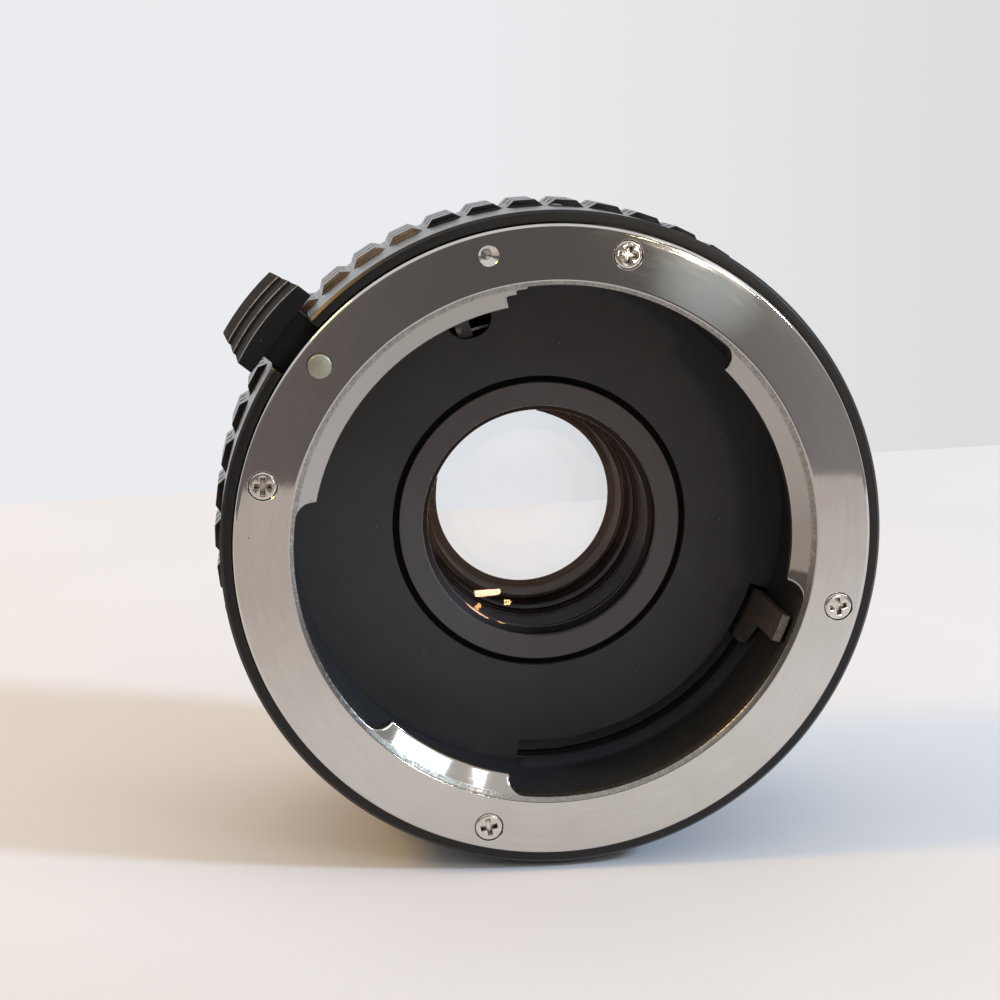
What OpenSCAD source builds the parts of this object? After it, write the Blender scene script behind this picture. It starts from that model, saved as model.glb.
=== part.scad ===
// Bayonet teleconverter: a lens locks on its front, and its back locks on a camera.
// The optical axis is +Y. The lens flange is at the origin, and +Z is up as it lies on its grip.

/* [Lens mount] */
// Outer diameter of the lens mount ring
mount_od = 60; // [58:0.5:64]
// Thickness of the lens mount ring
ring_t = 2.1; // [1.8:0.1:2.6]
// Diameter of the flat face's inner edge
throat_d = 49.76; // [49.5:0.02:50.4]
// Diameter inside the three tabs
tab_d = 45.4; // [44.8:0.1:46.2]
// Diameter of the notches that the lens's claws pass
notch_d = 48.8; // [48.4:0.1:49.2]
// Thickness of the tabs at their inner edge
tab_edge_t = 0.9; // [0.6:0.1:1.2]
// Radius of the cutter that rounds the notch corners
cutter_r = 1.6; // [0.8:0.1:1.6]
// Chamfer on the mount ring's outer edge
ring_chamfer = 0.2; // [0.1:0.05:0.5]
// Distance of the screws and the lock pin from the ring's outer edge
screw_edge = 2.13; // [1.9:0.01:2.4]
// Diameter of the screw heads
screw_head_d = 2.5; // [2.2:0.1:2.8]
// Height of the screw heads
screw_head_h = 0.8; // [0.6:0.1:1]
// Thread diameter of every screw
screw_thread_d = 1.7; // [1.4:0.1:2]
// Length of the screws below their heads
screw_len = 5.2; // [4.4:0.1:6]
// Diameter of the alignment dimple
dimple_d = 1.95; // [1.4:0.05:2.4]

/* [Angles seen from the front] */
// Where the notches begin, counter-clockwise from the right
notch_from = [45.8, 168.4, 258.9];
// Where the notches end
notch_to = [98.8, 227, 350];
// Where the two ledges end that lead from the first notch to its tab
ledge_to = [99, 101.3];
// How far the ledges stand inside the notch circle
ledge_drop = [0.2, 0.6];
// First of the four mount screws
screw_angle = 76.7; // [70:0.1:84]
// First of the four screws that join the barrels
joint_screw_angle = 32; // [25:1:40]
// First of the four rear mount screws
rear_screw_angle = 100; // [90:1:110]
// Lock pin
pin_angle = 141.4; // [140:0.1:146]
// Release slider
slider_angle = 141.6; // [140.5:0.1:145]
// Alignment dimple
dimple_angle = 103.3; // [98:0.1:108]
// Index dot on the collar
dot_angle = 88.5; // [80:0.5:95]
// Upper edge of the aperture finger at rest
finger_angle = -18.6; // [-20:0.1:-17]
// Travel of the aperture ring
aperture_travel = 63; // [50:1:64]
// Lower edge of the diaphragm lever at rest
lever_angle = 109.3; // [109:0.1:110]
// Travel of the diaphragm lever
lever_travel = 5; // [4:0.5:5.5]

/* [Barrel] */
// Distance from the lens flange to the camera flange
converter_len = 32; // [31:0.5:40]
// How far the mount ring stands out of the collar
ring_proud = 0.7; // [0.4:0.1:1]
// Radial gap between the mount ring and the collar
rim_gap = 0.1; // [0.05:0.01:0.2]
// Width of the collar's rim
rim_w = 1.1; // [0.8:0.1:1.6]
// Where the collar ends and the grip begins
collar_end = 9; // [8.6:0.1:10]
// Step from the collar down to the grip's seat
seat_step = 1.2; // [1:0.1:1.5]
// Length of the lip of the rear barrel behind the grip
lip_len = 1; // [0.6:0.1:1.6]
// Thickness of the web that carries the optical barrel
web_t = 2; // [1.6:0.1:3]
// Wall of the rear barrel
rear_wall = 2.6; // [2:0.1:3]
// Taper of the rear barrel on its radius
rear_taper = 1.1; // [0.8:0.1:1.4]
// Depth of the solid rim at the rear barrel's end
rear_rim = 4; // [3:0.25:5]

/* [Grip] */
// Number of pads round the grip
pad_count = 50; // [40:2:60]
// Height of the pads
pad_h = 0.7; // [0.4:0.1:1]
// Share of the pitch that a pad covers at its base
pad_base = 0.97; // [0.88:0.01:0.98]
// Share of the pitch that a pad covers at its top
pad_top = 0.5; // [0.4:0.01:0.7]
// Rows of pads
pad_rows = 3; // [2:1:5]
// Width of the grooves between the rows
row_gap = 0.5; // [0.3:0.05:0.8]
// Depth of the grooves between the rows
row_depth = 0.45; // [0.2:0.05:0.6]

/* [Release] */
// Width of the slot for the slider
slot_w = 5.4; // [4.8:0.1:6]
// Length of the slider's shank along the axis
shank_len = 3; // [2.6:0.1:3.4]
// Depth of the shank's front face behind the lens flange
shank_front = 3.4; // [3.1:0.05:3.5]
// Travel of the slider
slider_travel = 2.2; // [1.8:0.1:2.4]
// Length of the slider's head
head_len = 5; // [4.4:0.1:5.4]
// Width of the head at its front
head_w = 9; // [7:0.1:10]
// Width of the head at its rear
head_rear_w = 7.2; // [6:0.1:8]
// Height of the head's front edge above its underside
head_front_h = 2; // [1.4:0.1:2.4]
// Height of the head's rear edge above its underside
head_rear_h = 4.3; // [3.6:0.1:5]
// Number of treads on the head
treads = 3; // [2:1:5]
// Height of the riser in front of each tread
riser = 0.3; // [0.1:0.05:0.5]
// Crown radius of the head across its width
crown_r = 22; // [16:1:40]
// Diameter of the lock pin
pin_d = 2.2; // [2:0.1:2.8]
// How far the lock pin stands out of the mount ring
pin_proud = 1; // [0.6:0.1:1.4]

/* [Baffle and levers] */
// Depth of the front baffle behind the lens flange
baffle_depth = 12; // [11:0.25:13]
// Thickness of the front baffle
baffle_t = 0.8; // [0.6:0.1:1.2]
// Wall of the baffle's cup
cup_wall = 0.55; // [0.4:0.05:0.8]
// Radial gap between the baffle and the bezel
bezel_gap = 0.66; // [0.4:0.02:1]
// Inner radius of the crescent slot
crescent_r = 22.45; // [22:0.05:22.6]
// Inner radius of the lever slot
lever_slot_r = 19.5; // [19.2:0.05:19.8]
// Thickness of the diaphragm lever
lever_t = 1.2; // [0.8:0.1:1.6]
// Thickness of the aperture ring
aperture_t = 2.2; // [1.8:0.1:3]
// Radial thickness of the aperture finger
finger_t = 0.8; // [0.5:0.05:0.9]
// Width of the finger's end in degrees
finger_w = 6.4; // [5:0.1:7]
// Width of the finger's base in degrees
finger_base_w = 12.7; // [9:0.1:13]
// Depth of the finger's end behind the lens flange
finger_end = 1.5; // [1:0.1:3]
// Depth of the diaphragm finger's end behind the lens flange
lever_end = 9.5; // [8:0.25:11]
// Thickness of the aperture clip
clip_t = 0.5; // [0.4:0.05:0.6]

/* [Optics] */
// Outer radius of the optical barrel
tube_r = 15; // [14:0.05:15.6]
// Wall of the optical barrel
tube_wall = 2.05; // [1.6:0.05:2.6]
// Width of the flat rim round the concave faces
lens_rim = 1.1; // [0.9:0.05:1.4]
// How far the bezel reaches outside the lenses
bezel_rim = 1.06; // [0.8:0.02:1.4]
// How far the bezel reaches inside the flat rim
bezel_lip = 0.2; // [0:0.05:0.4]
// Thickness of the bezel's flange
bezel_t = 0.8; // [0.6:0.1:1]
// Length of the skirt that holds the front lens
bezel_skirt = 0.58; // [0.4:0.02:0.8]
// How far the rear retaining ring reaches inside the flat rim
rear_lip = 0.1; // [0:0.05:0.4]
// Face radii of the front lens, negative where the centre lies in front of the face
front_lens_faces = [-65, 45];
// Face radii of the second lens
second_lens_faces = [80, -110];
// Face radii of the third lens
third_lens_faces = [-80, 90];
// Face radii of the rear lens
rear_lens_faces = [80, -140];
// Middle thickness of the two concave lenses
concave_t = 1.6; // [1.2:0.1:2]
// Middle thickness of the two convex lenses
convex_t = 3; // [2.6:0.1:3.4]
// Air space between the middles of the first two lenses
front_air = 3; // [2.8:0.1:3.4]
// Air space between the middles of the second and third lenses
middle_air = 2.8; // [2.6:0.1:3.2]
// Air space between the middles of the third and rear lenses
rear_air = 2.6; // [2.4:0.1:3]
// How far the optical barrel reaches behind the rear lens
tube_over = 0.8; // [0.6:0.1:1.4]

/* [Camera mount] */
// Diameter of the register that enters the camera
register_d = 45; // [44.6:0.1:45.2]
// Wall of the register
register_wall = 1.5; // [1.2:0.1:1.6]
// Length of the register
register_len = 5; // [4.5:0.1:6]
// Diameter across the claws
claw_d = 48; // [47.6:0.1:48.2]
// Thickness of the claws
claw_t = 1.5; // [1.2:0.1:1.8]
// Thickness of the rear mount ring's flange
rear_ring_t = 2; // [1.8:0.1:2.6]
// Width of each claw in degrees
claw_w = [46, 46, 34];
// How far a lens turns from entering to locked
lock_turn = 60; // [55:1:65]

/* [Clearances] */
// Radial gap of pieces that turn or slide on each other
run_gap = 0.08; // [0.05:0.01:0.1]
// Radial gap of pieces that are screwed or dropped together
fit_gap = 0.05; // [0.03:0.01:0.08]
// Axial gap beside pieces that turn
axial_gap = 0.25; // [0.2:0.01:0.3]
// Free room round levers and cut-outs
free_gap = 0.3; // [0.25:0.01:0.4]

/* [Hidden] */
$fn = 180;

// Overshoot of a cutter, overlap of joined shapes, and the least step or gap
cut = 0.5;
joined = 0.1;
hair = 0.02;

// Screws: free room, cross recess and run-out below the tip
screw_slack = 0.1;
head_gap = 0.12;
head_recess = 0.1;
cross_w = 0.34;
cross_len = 1.5;
cross_depth = 0.45;
cross_turn = 20;
screw_floor = 0.3;
screw_hole_r = screw_thread_d / 2 + hair;
screw_pass_r = screw_thread_d / 2 + screw_slack;
counterbore_r = screw_head_d / 2 + head_gap;

// Radii, from the mount ring outwards and inwards
ring_r = mount_od / 2;
throat_r = throat_d / 2;
tab_r = tab_d / 2;
notch_r = notch_d / 2;
screw_r = ring_r - screw_edge;
recess_r = ring_r + rim_gap;
collar_r = recess_r + rim_w;
edge_chamfer = 0.3;
grip_seat_r = collar_r - seat_step;
grip_drop = 0.1;
grip_base_r = collar_r - grip_drop;
pad_root = 0.05;
pad_r = grip_base_r + pad_h;
cup_step = 0.15;
cup_in_r = notch_r + cup_step;
cup_out_r = cup_in_r + cup_wall;
bore_r = cup_out_r + fit_gap;
aperture_bore_r = notch_r;
aperture_r = aperture_bore_r - run_gap;
clip_hold = 0.75;
clip_in_r = aperture_r - clip_hold;
clip_groove = 0.6;
groove_r = aperture_bore_r + clip_groove;
clip_open = 15;

// Depths, from the lens flange to the camera flange
tab_front = ring_t - tab_edge_t;
dimple_depth = 0.7;
dimple_tip_r = 0.1;
baffle_back = baffle_depth + baffle_t;
lever_d = baffle_back + axial_gap;
aperture_d = lever_d + lever_t + free_gap;
clip_d = aperture_d - axial_gap - clip_t;
joint_d = aperture_d + aperture_t + axial_gap;
grip_end = joint_d - lip_len;
web_back = joint_d + web_t;
rear_seat = converter_len - rear_ring_t;
register_end = converter_len + register_len;

// Leaf springs behind the tabs
leaf_t = 0.25;
leaf_inset = 0.2;
leaf_gap = 0.1;
leaf_bow = 0.9;
leaf_share = 0.33;

// Index dot
dot_r = 0.55;
dot_depth = 0.7;
dot_proud = 0.25;
dot_dome_r = 1.2;
dot_back = 1.5;
dot_seat_r = collar_r - dot_depth;
dot_d = collar_end - dot_back;

// Rear barrel and its mount
rear_drop = 0.2;
rear_r = collar_r - rear_drop;
rear_out_r = rear_r - rear_taper;
claw_room = 0.4;
rear_rim_r = claw_d / 2 + claw_room;
rear_screw_r = (rear_rim_r + rear_out_r) / 2;
joint_screw_out = 0.1;
joint_screw_r = (aperture_bore_r + collar_r - rear_wall) / 2 + joint_screw_out;
rear_screw_floor = 0.2;
rear_screw_tip = 0.6;
register_r = register_d / 2;
register_in_r = register_r - register_wall;
face_relief = 0.2;
face_gap = 0.3;
claw_gap = 0.2;
claw_root = 0.5;

// Optical barrel and its stack of lenses
tube_bore_r = tube_r - tube_wall;
lens_r = tube_bore_r - fit_gap;
clear_r = lens_r - lens_rim;
bezel_r = lens_r + bezel_rim;
bezel_in_r = clear_r - bezel_lip;
bezel_edge = 0.1;
bezel_bevel = 0.15;
rear_clear_r = clear_r - rear_lip;
bezel_skirt_d = baffle_depth + bezel_t;
front_lens_d = bezel_skirt_d + bezel_skirt;
spacer_step = 0.4;
spacer_r = clear_r + spacer_step;
front_vertex = front_lens_d + sag(clear_r, front_lens_faces[0]);
front_lens_back = front_vertex + concave_t;
second_vertex = front_lens_back + front_air;
second_lens_back = second_vertex + convex_t;
third_vertex = second_lens_back + middle_air;
third_lens_back = third_vertex + concave_t;
rear_vertex = third_lens_back + rear_air;
rear_lens_back = rear_vertex + convex_t;
tube_end = rear_lens_back + tube_over;
hub_step = 1;
hub_r = tube_r + hub_step;
hub_flange = 1.6;
hub_flange_r = hub_r + hub_flange;
hub_flange_d = lever_d + lever_t + axial_gap;
lock_ring_t = 1.4;
lock_ring_drop = 0.2;
spanner_w = 1.5;
spanner_depth = 0.6;
rear_baffle_t = 0.6;
rear_baffle_gap = 0.2;
retainer_t = 0.8;
retainer_flare = 0.4;

// Levers that run from front to rear
finger_r = notch_r - free_gap;
finger_shoulder = 1.2;
aperture_in = 0.5;
aperture_in_r = crescent_r - aperture_in;
tab_gap = 0.5;
tab_out_r = register_in_r - tab_gap;
tab_t = 1;
tab_root = 0.1;
tab_inset = 0.5;
tab_w = 8.5;
tab_short = 1;
tab_end = register_end - tab_short;
lever_arm_in = 1.8;
lever_arm_r = notch_r - lever_arm_in;
lever_finger_t = 0.9;
lever_w = 4;
lever_bore_r = hub_r + run_gap;
lever_hub = 1;
lever_hub_r = hub_flange_r + lever_hub;
rear_lever_t = 1;
rear_lever_gap = 0.2;
rear_lever_r = register_in_r - rear_lever_gap - rear_lever_t;
rear_lever_over = 0.5;
rear_lever_end = register_end + rear_lever_over;
window_gap = 1.5;
window_more = 1;
lever_slot_room = 0.8;
lever_slot_lead = 1.2;
lever_slot_lag = 1.8;

// Release slider
slot_floor = 0.6;
slot_floor_r = screw_r - pin_d / 2 - slot_floor;
slot_over = 0.2;
slot_end = collar_end + slot_over;
shank_w = slot_w - 2 * run_gap;
shank_top = 0.4;
underside_r = pad_r + free_gap;
head_lead = 0.4;
head_front = shank_front - head_lead;
head_back = head_front + head_len;
head_deep = 6;
head_sweep = 80;
shank_back = shank_front + shank_len;
pin_fit = 0.01;
pin_floor = 0.6;
pin_seat = shank_back - pin_floor;
spring_bore_r = 1.45;
spring_reach = 5;
spring_end = collar_end + spring_reach;

// Springs: coil and wire radii, curls, and the posts that hold them
release_coil_r = 0.95;
release_wire_r = 0.15;
release_curls = 6;
arc_coil_r = 0.55;
arc_wire_r = 0.12;
arc_end = 0.6;
post_r = 0.5;
post_gap = 0.3;
post_lead = 2;
aperture_coil_r = tab_out_r - tab_t / 2;
aperture_curls = 18;
aperture_coil_d = aperture_d + aperture_t / 2;
aperture_post = 68;
aperture_arc = [finger_angle + arc_end, aperture_post - post_lead];
diaphragm_coil_out = 1.1;
diaphragm_coil_r = lever_hub_r + diaphragm_coil_out;
diaphragm_curls = 10;
diaphragm_coil_d = lever_d + lever_t / 2;
diaphragm_post = 165;
diaphragm_arc = [lever_angle + lever_w + arc_end, diaphragm_post - post_lead];

function sag(r, face) = abs(face) - sqrt(face * face - r * r);

// Turns a shape made along +Z so that it runs along the optical axis
module on_axis() rotate([-90, 0, 0]) children();
module clock(angle) rotate([0, 0, -angle]) children();
module place(angle, radius, depth) clock(angle) translate([radius, 0, depth]) children();
module four(angle, radius, depth) for (k = [0:3]) place(angle + 90 * k, radius, depth) children();

module disc(r, from, to) translate([0, 0, from]) cylinder(r = r, h = to - from);
module tube(r_in, r_out, from, to) difference() {
    disc(r_out, from, to);
    disc(r_in, from - cut, to + cut);
}
module wedge(r, from, to) {
    steps = 8;
    polygon(concat([[0, 0]], [for (i = [0:steps])
        let (a = -from - (to - from) * i / steps) 1.5 * r * [cos(a), sin(a)]]));
}
module tube_sector(r_in, r_out, from, to, a_from, a_to) translate([0, 0, from])
    linear_extrude(to - from) intersection() {
        difference() {
            circle(r_out);
            circle(r_in);
        }
        wedge(r_out, a_from, a_to);
    }

// Cross-head screw with its head's top at depth 0
module screw(length) difference() {
    union() {
        disc(screw_head_d / 2, 0, screw_head_h);
        disc(screw_thread_d / 2, screw_head_h - joined, screw_head_h + length);
    }
    for (turn = [cross_turn, cross_turn + 90]) rotate([0, 0, turn])
        translate([-cross_len / 2, -cross_w / 2, -cut]) cube([cross_len, cross_w, cut + cross_depth]);
}

// Notch between two tabs, with the round corners that a cutter leaves, a hair short of the walls
module notch_shape(from, to) {
    corner_r = notch_r - cutter_r;
    corner = asin(cutter_r / corner_r);
    intersection() {
        circle(notch_r);
        wedge(notch_r, from + corner, to - corner);
    }
    intersection() {
        circle(corner_r * cos(corner));
        wedge(notch_r, from, to);
    }
    for (a = [from + corner, to - corner]) clock(a) translate([corner_r, 0]) circle(cutter_r - hair);
}

// The two small ledges between the first notch and its tab
module ledge_shape(k) intersection() {
    circle(notch_r - ledge_drop[k]);
    wedge(notch_r, (notch_from[0] + notch_to[0]) / 2, ledge_to[k]);
}

module lens_mount_ring() color("silver") on_axis() difference() {
    rotate_extrude() polygon([[throat_r, 0], [ring_r - ring_chamfer, 0], [ring_r, ring_chamfer],
        [ring_r, ring_t], [tab_r, ring_t], [tab_r, tab_front]]);
    translate([0, 0, -cut]) linear_extrude(ring_t + 2 * cut) {
        for (i = [0:2]) notch_shape(notch_from[i], notch_to[i]);
        for (k = [0:1]) ledge_shape(k);
    }
    four(screw_angle, screw_r, 0) {
        disc(counterbore_r, -cut, head_recess + screw_head_h);
        disc(screw_pass_r, 0, ring_t + cut);
    }
    place(pin_angle, screw_r, 0) disc(pin_d / 2 + run_gap, -cut, ring_t + cut);
    place(dimple_angle, screw_r, 0) cylinder(r1 = dimple_d / 2, r2 = dimple_tip_r, h = dimple_depth);
}

module lens_mount_screws() color("gainsboro") on_axis()
    four(screw_angle, screw_r, head_recess) screw(screw_len);

// One bowed leaf behind each tab: a slice of a thin drum whose axis points outwards
module bayonet_leaf_springs() color("goldenrod") on_axis() {
    leaf_in_r = tab_r + leaf_inset;
    for (i = [0:2]) {
        from = notch_to[i];
        to = notch_from[(i + 1) % 3] + (i == 2 ? 360 : 0);
        middle = (from + to) / 2;
        half = (to - from) * leaf_share;
        half_chord = leaf_in_r * sin(half);
        drum_r = (half_chord * half_chord + leaf_bow * leaf_bow) / (2 * leaf_bow);
        intersection() {
            tube_sector(leaf_in_r, notch_r - leaf_gap, ring_t, ring_t + 2 * leaf_bow,
                middle - half, middle + half);
            place(middle, 0, ring_t + leaf_bow - drum_r + leaf_t) rotate([0, 90, 0])
                tube(drum_r - leaf_t, drum_r, 0, ring_r);
        }
    }
}

module front_barrel() color("#26262a") on_axis() difference() {
    rotate_extrude() polygon([[bore_r, ring_t], [recess_r, ring_t], [recess_r, ring_proud],
        [collar_r - edge_chamfer, ring_proud], [collar_r, ring_proud + edge_chamfer],
        [collar_r, collar_end], [grip_seat_r, collar_end], [grip_seat_r, joint_d],
        [aperture_bore_r, joint_d], [aperture_bore_r, baffle_back], [bore_r, baffle_back]]);
    four(screw_angle, screw_r, 0)
        disc(screw_hole_r, ring_t - cut, head_recess + screw_head_h + screw_len + screw_floor);
    four(joint_screw_angle, joint_screw_r, 0)
        disc(screw_hole_r, web_back - screw_len - screw_floor, joint_d + cut);
    clock(slider_angle) translate([slot_floor_r, -slot_w / 2, ring_proud - cut])
        cube([collar_r, slot_w, slot_end - ring_proud + cut]);
    place(pin_angle, screw_r, 0) disc(spring_bore_r, shank_back, spring_end);
    tube(aperture_bore_r - cut, groove_r, clip_d - fit_gap, clip_d + clip_t + fit_gap);
    place(dot_angle, 0, dot_d) rotate([0, 90, 0]) disc(dot_r + hair, dot_seat_r, collar_r + cut);
}

module index_dot() color("white") on_axis() place(dot_angle, 0, dot_d) rotate([0, 90, 0]) intersection() {
    disc(dot_r, dot_seat_r, collar_r + dot_proud);
    translate([0, 0, collar_r + dot_proud - dot_dome_r]) sphere(dot_dome_r);
}

// Band of trapezoid pads, cut into rows
module grip_ring() color("#2b2b2d") on_axis() difference() {
    row_len = (grip_end - collar_end - (pad_rows - 1) * row_gap) / pad_rows;
    half_base = 180 / pad_count * pad_base;
    half_top = 180 / pad_count * pad_top;
    root_r = grip_base_r - pad_root;
    translate([0, 0, collar_end]) linear_extrude(grip_end - collar_end) difference() {
        union() {
            circle(grip_base_r);
            for (k = [0:pad_count - 1]) rotate(360 / pad_count * k) polygon([
                root_r * [cos(half_base), -sin(half_base)], pad_r * [1, -tan(half_top)],
                pad_r * [1, tan(half_top)], root_r * [cos(half_base), sin(half_base)]]);
        }
        circle(grip_seat_r + fit_gap);
    }
    for (k = [1:pad_rows - 1]) {
        from = collar_end + k * row_len + (k - 1) * row_gap;
        tube(pad_r - row_depth, pad_r + cut, from, from + row_gap);
    }
}

// Windows that the aperture tab and the rear lever pass through, over their whole travel
module lever_windows(from, to, tab_room) {
    tube_sector(tab_out_r - tab_t - free_gap, tab_out_r + tab_room, from - cut, to + cut,
        finger_angle - tab_w - aperture_travel - window_gap - window_more, finger_angle + window_gap);
    tube_sector(rear_lever_r - free_gap, rear_lever_r + rear_lever_t + free_gap, from - cut, to + cut,
        lever_angle - lever_travel - window_gap, lever_angle + lever_w + window_gap);
}

module rear_barrel() color("#242427") on_axis() {
    seat_r = grip_seat_r + fit_gap;
    hole_r = tube_r + fit_gap;
    inner_r = rear_r - rear_wall;
    rim_d = rear_seat - rear_rim;
    difference() {
        rotate_extrude() polygon([[hole_r, joint_d], [seat_r, joint_d], [seat_r, grip_end],
            [rear_r, grip_end], [rear_r, web_back], [rear_out_r, rear_seat], [rear_rim_r, rear_seat],
            [rear_rim_r, rim_d], [inner_r, rim_d], [inner_r, web_back], [hole_r, web_back]]);
        lever_windows(joint_d, web_back, free_gap);
        four(joint_screw_angle, joint_screw_r, 0) disc(screw_pass_r, joint_d - cut, web_back + cut);
        four(rear_screw_angle, rear_screw_r, 0)
            disc(screw_hole_r, rim_d + rear_screw_floor, rear_seat + cut);
    }
    place(aperture_post, aperture_coil_r, 0) disc(post_r, aperture_d + post_gap, joint_d + joined);
}

module barrel_screws() color("gainsboro") on_axis()
    four(joint_screw_angle, joint_screw_r, web_back + screw_head_h) mirror([0, 0, 1]) screw(screw_len);

// Male bayonet, with claws where a lens's claws lie when it is locked
module rear_mount_ring() color("silver") on_axis() difference() {
    face_r = claw_d / 2 + face_gap;
    claw_from = converter_len + ring_t + claw_gap;
    union() {
        rotate_extrude() polygon([[register_in_r, rear_seat], [rear_out_r, rear_seat],
            [rear_out_r, converter_len - ring_chamfer], [rear_out_r - ring_chamfer, converter_len],
            [face_r, converter_len], [face_r, converter_len - face_relief],
            [register_r, converter_len - face_relief], [register_r, register_end - ring_chamfer],
            [register_r - ring_chamfer, register_end], [register_in_r, register_end]]);
        for (i = [0:2]) {
            middle = (notch_from[i] + notch_to[i]) / 2 - lock_turn;
            tube_sector(register_r - claw_root, claw_d / 2, claw_from, claw_from + claw_t,
                middle - claw_w[i] / 2, middle + claw_w[i] / 2);
        }
    }
    four(rear_screw_angle, rear_screw_r, 0) {
        disc(counterbore_r, converter_len - head_recess - screw_head_h, converter_len + cut);
        disc(screw_pass_r, rear_seat - cut, converter_len);
    }
    place(pin_angle, screw_r, 0)
        disc(pin_d / 2 + free_gap, converter_len - pin_proud - free_gap, converter_len + cut);
}

module rear_mount_screws() color("gainsboro") on_axis()
    four(rear_screw_angle, rear_screw_r, converter_len - head_recess) mirror([0, 0, 1])
        screw(rear_ring_t + rear_rim - head_recess - screw_head_h - rear_screw_tip);

// Cup that drops in behind the mount ring, with a slot for each lever and a post for the lever's spring
module front_baffle() color("#1b1b1c") on_axis() {
    hole_r = bezel_r + bezel_gap;
    slot_mid_r = (lever_slot_r + lever_arm_r + lever_slot_room) / 2;
    slot_half = slot_mid_r - lever_slot_r;
    slot_round = asin(slot_half / slot_mid_r);
    slot_from = lever_angle - lever_travel - lever_slot_lead + slot_round;
    slot_to = lever_angle + lever_w + lever_slot_lag - slot_round;
    difference() {
        rotate_extrude() polygon([[hole_r, baffle_depth], [cup_in_r, baffle_depth], [cup_in_r, ring_t],
            [cup_out_r, ring_t], [cup_out_r, baffle_back], [hole_r, baffle_back]]);
        tube_sector(crescent_r, cup_in_r, baffle_depth - cut, baffle_back + cut,
            finger_angle - finger_base_w - aperture_travel - window_more, finger_angle + window_more);
        tube_sector(lever_slot_r, lever_slot_r + 2 * slot_half, baffle_depth - cut, baffle_back + cut,
            slot_from, slot_to);
        for (a = [slot_from, slot_to]) place(a, slot_mid_r, 0) rotate([0, 0, 45])
            disc(slot_half - hair, baffle_depth - cut, baffle_back + cut);
    }
    place(diaphragm_post, diaphragm_coil_r, 0) disc(post_r, baffle_back - joined, lever_d + lever_t);
}

module optical_barrel() color("#202022") on_axis() rotate_extrude() polygon([
    [tube_bore_r, bezel_skirt_d], [bezel_r, bezel_skirt_d], [bezel_r, lever_d], [hub_r, lever_d],
    [hub_r, hub_flange_d], [hub_flange_r, hub_flange_d], [hub_flange_r, joint_d], [tube_r, joint_d],
    [tube_r, tube_end], [tube_bore_r, tube_end]]);

module front_retaining_ring() color("#343336") on_axis() rotate_extrude() polygon([
    [bezel_in_r + bezel_bevel, baffle_depth], [bezel_r - bezel_edge, baffle_depth],
    [bezel_r, baffle_depth + bezel_edge], [bezel_r, bezel_skirt_d], [lens_r, bezel_skirt_d],
    [lens_r, front_lens_d], [clear_r, front_lens_d], [bezel_in_r, baffle_depth + 2 * bezel_bevel],
    [bezel_in_r, baffle_depth + bezel_bevel]]);

// Lens from its two face radii; a concave face has a flat rim outside clear_r
module lens(faces, vertex, thickness) color("#c9d6de", 0.4) on_axis() {
    back = vertex + thickness;
    difference() {
        intersection() {
            disc(lens_r, vertex - (faces[0] < 0 ? sag(clear_r, faces[0]) : cut),
                back + (faces[1] > 0 ? sag(clear_r, faces[1]) : cut));
            if (faces[0] > 0) translate([0, 0, vertex + faces[0]]) sphere(faces[0]);
            if (faces[1] < 0) translate([0, 0, back + faces[1]]) sphere(-faces[1]);
        }
        if (faces[0] < 0) translate([0, 0, vertex + faces[0]]) sphere(-faces[0]);
        if (faces[1] > 0) translate([0, 0, back + faces[1]]) sphere(faces[1]);
    }
}
module front_lens() lens(front_lens_faces, front_vertex, concave_t);
module second_lens() lens(second_lens_faces, second_vertex, convex_t);
module third_lens() lens(third_lens_faces, third_vertex, concave_t);
module rear_lens() lens(rear_lens_faces, rear_vertex, convex_t);

// Spacers seat on the lens faces at their inner edge
module spacer(from, to) color("#1d1d1f") on_axis() tube(spacer_r, lens_r, from, to);
module front_spacer() spacer(front_lens_back + sag(clear_r, front_lens_faces[1]),
    second_vertex + sag(spacer_r, second_lens_faces[0]));
module middle_spacer() spacer(second_lens_back - sag(spacer_r, second_lens_faces[1]),
    third_vertex - sag(clear_r, third_lens_faces[0]));
module rear_spacer() spacer(third_lens_back + sag(clear_r, third_lens_faces[1]),
    rear_vertex + sag(spacer_r, rear_lens_faces[0]));

module rear_retaining_ring() color("#202022") on_axis() {
    seat = rear_lens_back - sag(rear_clear_r, rear_lens_faces[1]) + hair;
    back = tube_end + rear_baffle_t;
    rotate_extrude() polygon([[rear_clear_r, seat], [lens_r, seat], [lens_r, back], [tube_r, back],
        [tube_r, back + retainer_t], [lens_r + retainer_flare, back + retainer_t]]);
}

module rear_baffle() color("#1b1b1c") on_axis() difference() {
    tube(lens_r + rear_baffle_gap, register_in_r - rear_baffle_gap, tube_end, tube_end + rear_baffle_t);
    lever_windows(tube_end, tube_end + rear_baffle_t, tab_gap);
}

// Nut with two crossed slots for a spanner
module barrel_lock_ring() color("#3a3a3c") on_axis() difference() {
    back = web_back + lock_ring_t;
    tube(tube_r + fit_gap, hub_flange_r - lock_ring_drop, web_back, back);
    for (turn = [0, 90]) rotate([0, 0, turn]) translate([-hub_flange_r, -spanner_w / 2, back - spanner_depth])
        cube([2 * hub_flange_r, spanner_w, spanner_depth + cut]);
}

// Snap ring, open where the aperture finger travels
module aperture_clip() color("gainsboro") on_axis()
    tube_sector(clip_in_r, groove_r - fit_gap, clip_d, clip_d + clip_t, 0,
        360 + finger_angle - finger_base_w - aperture_travel - clip_open);

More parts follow.
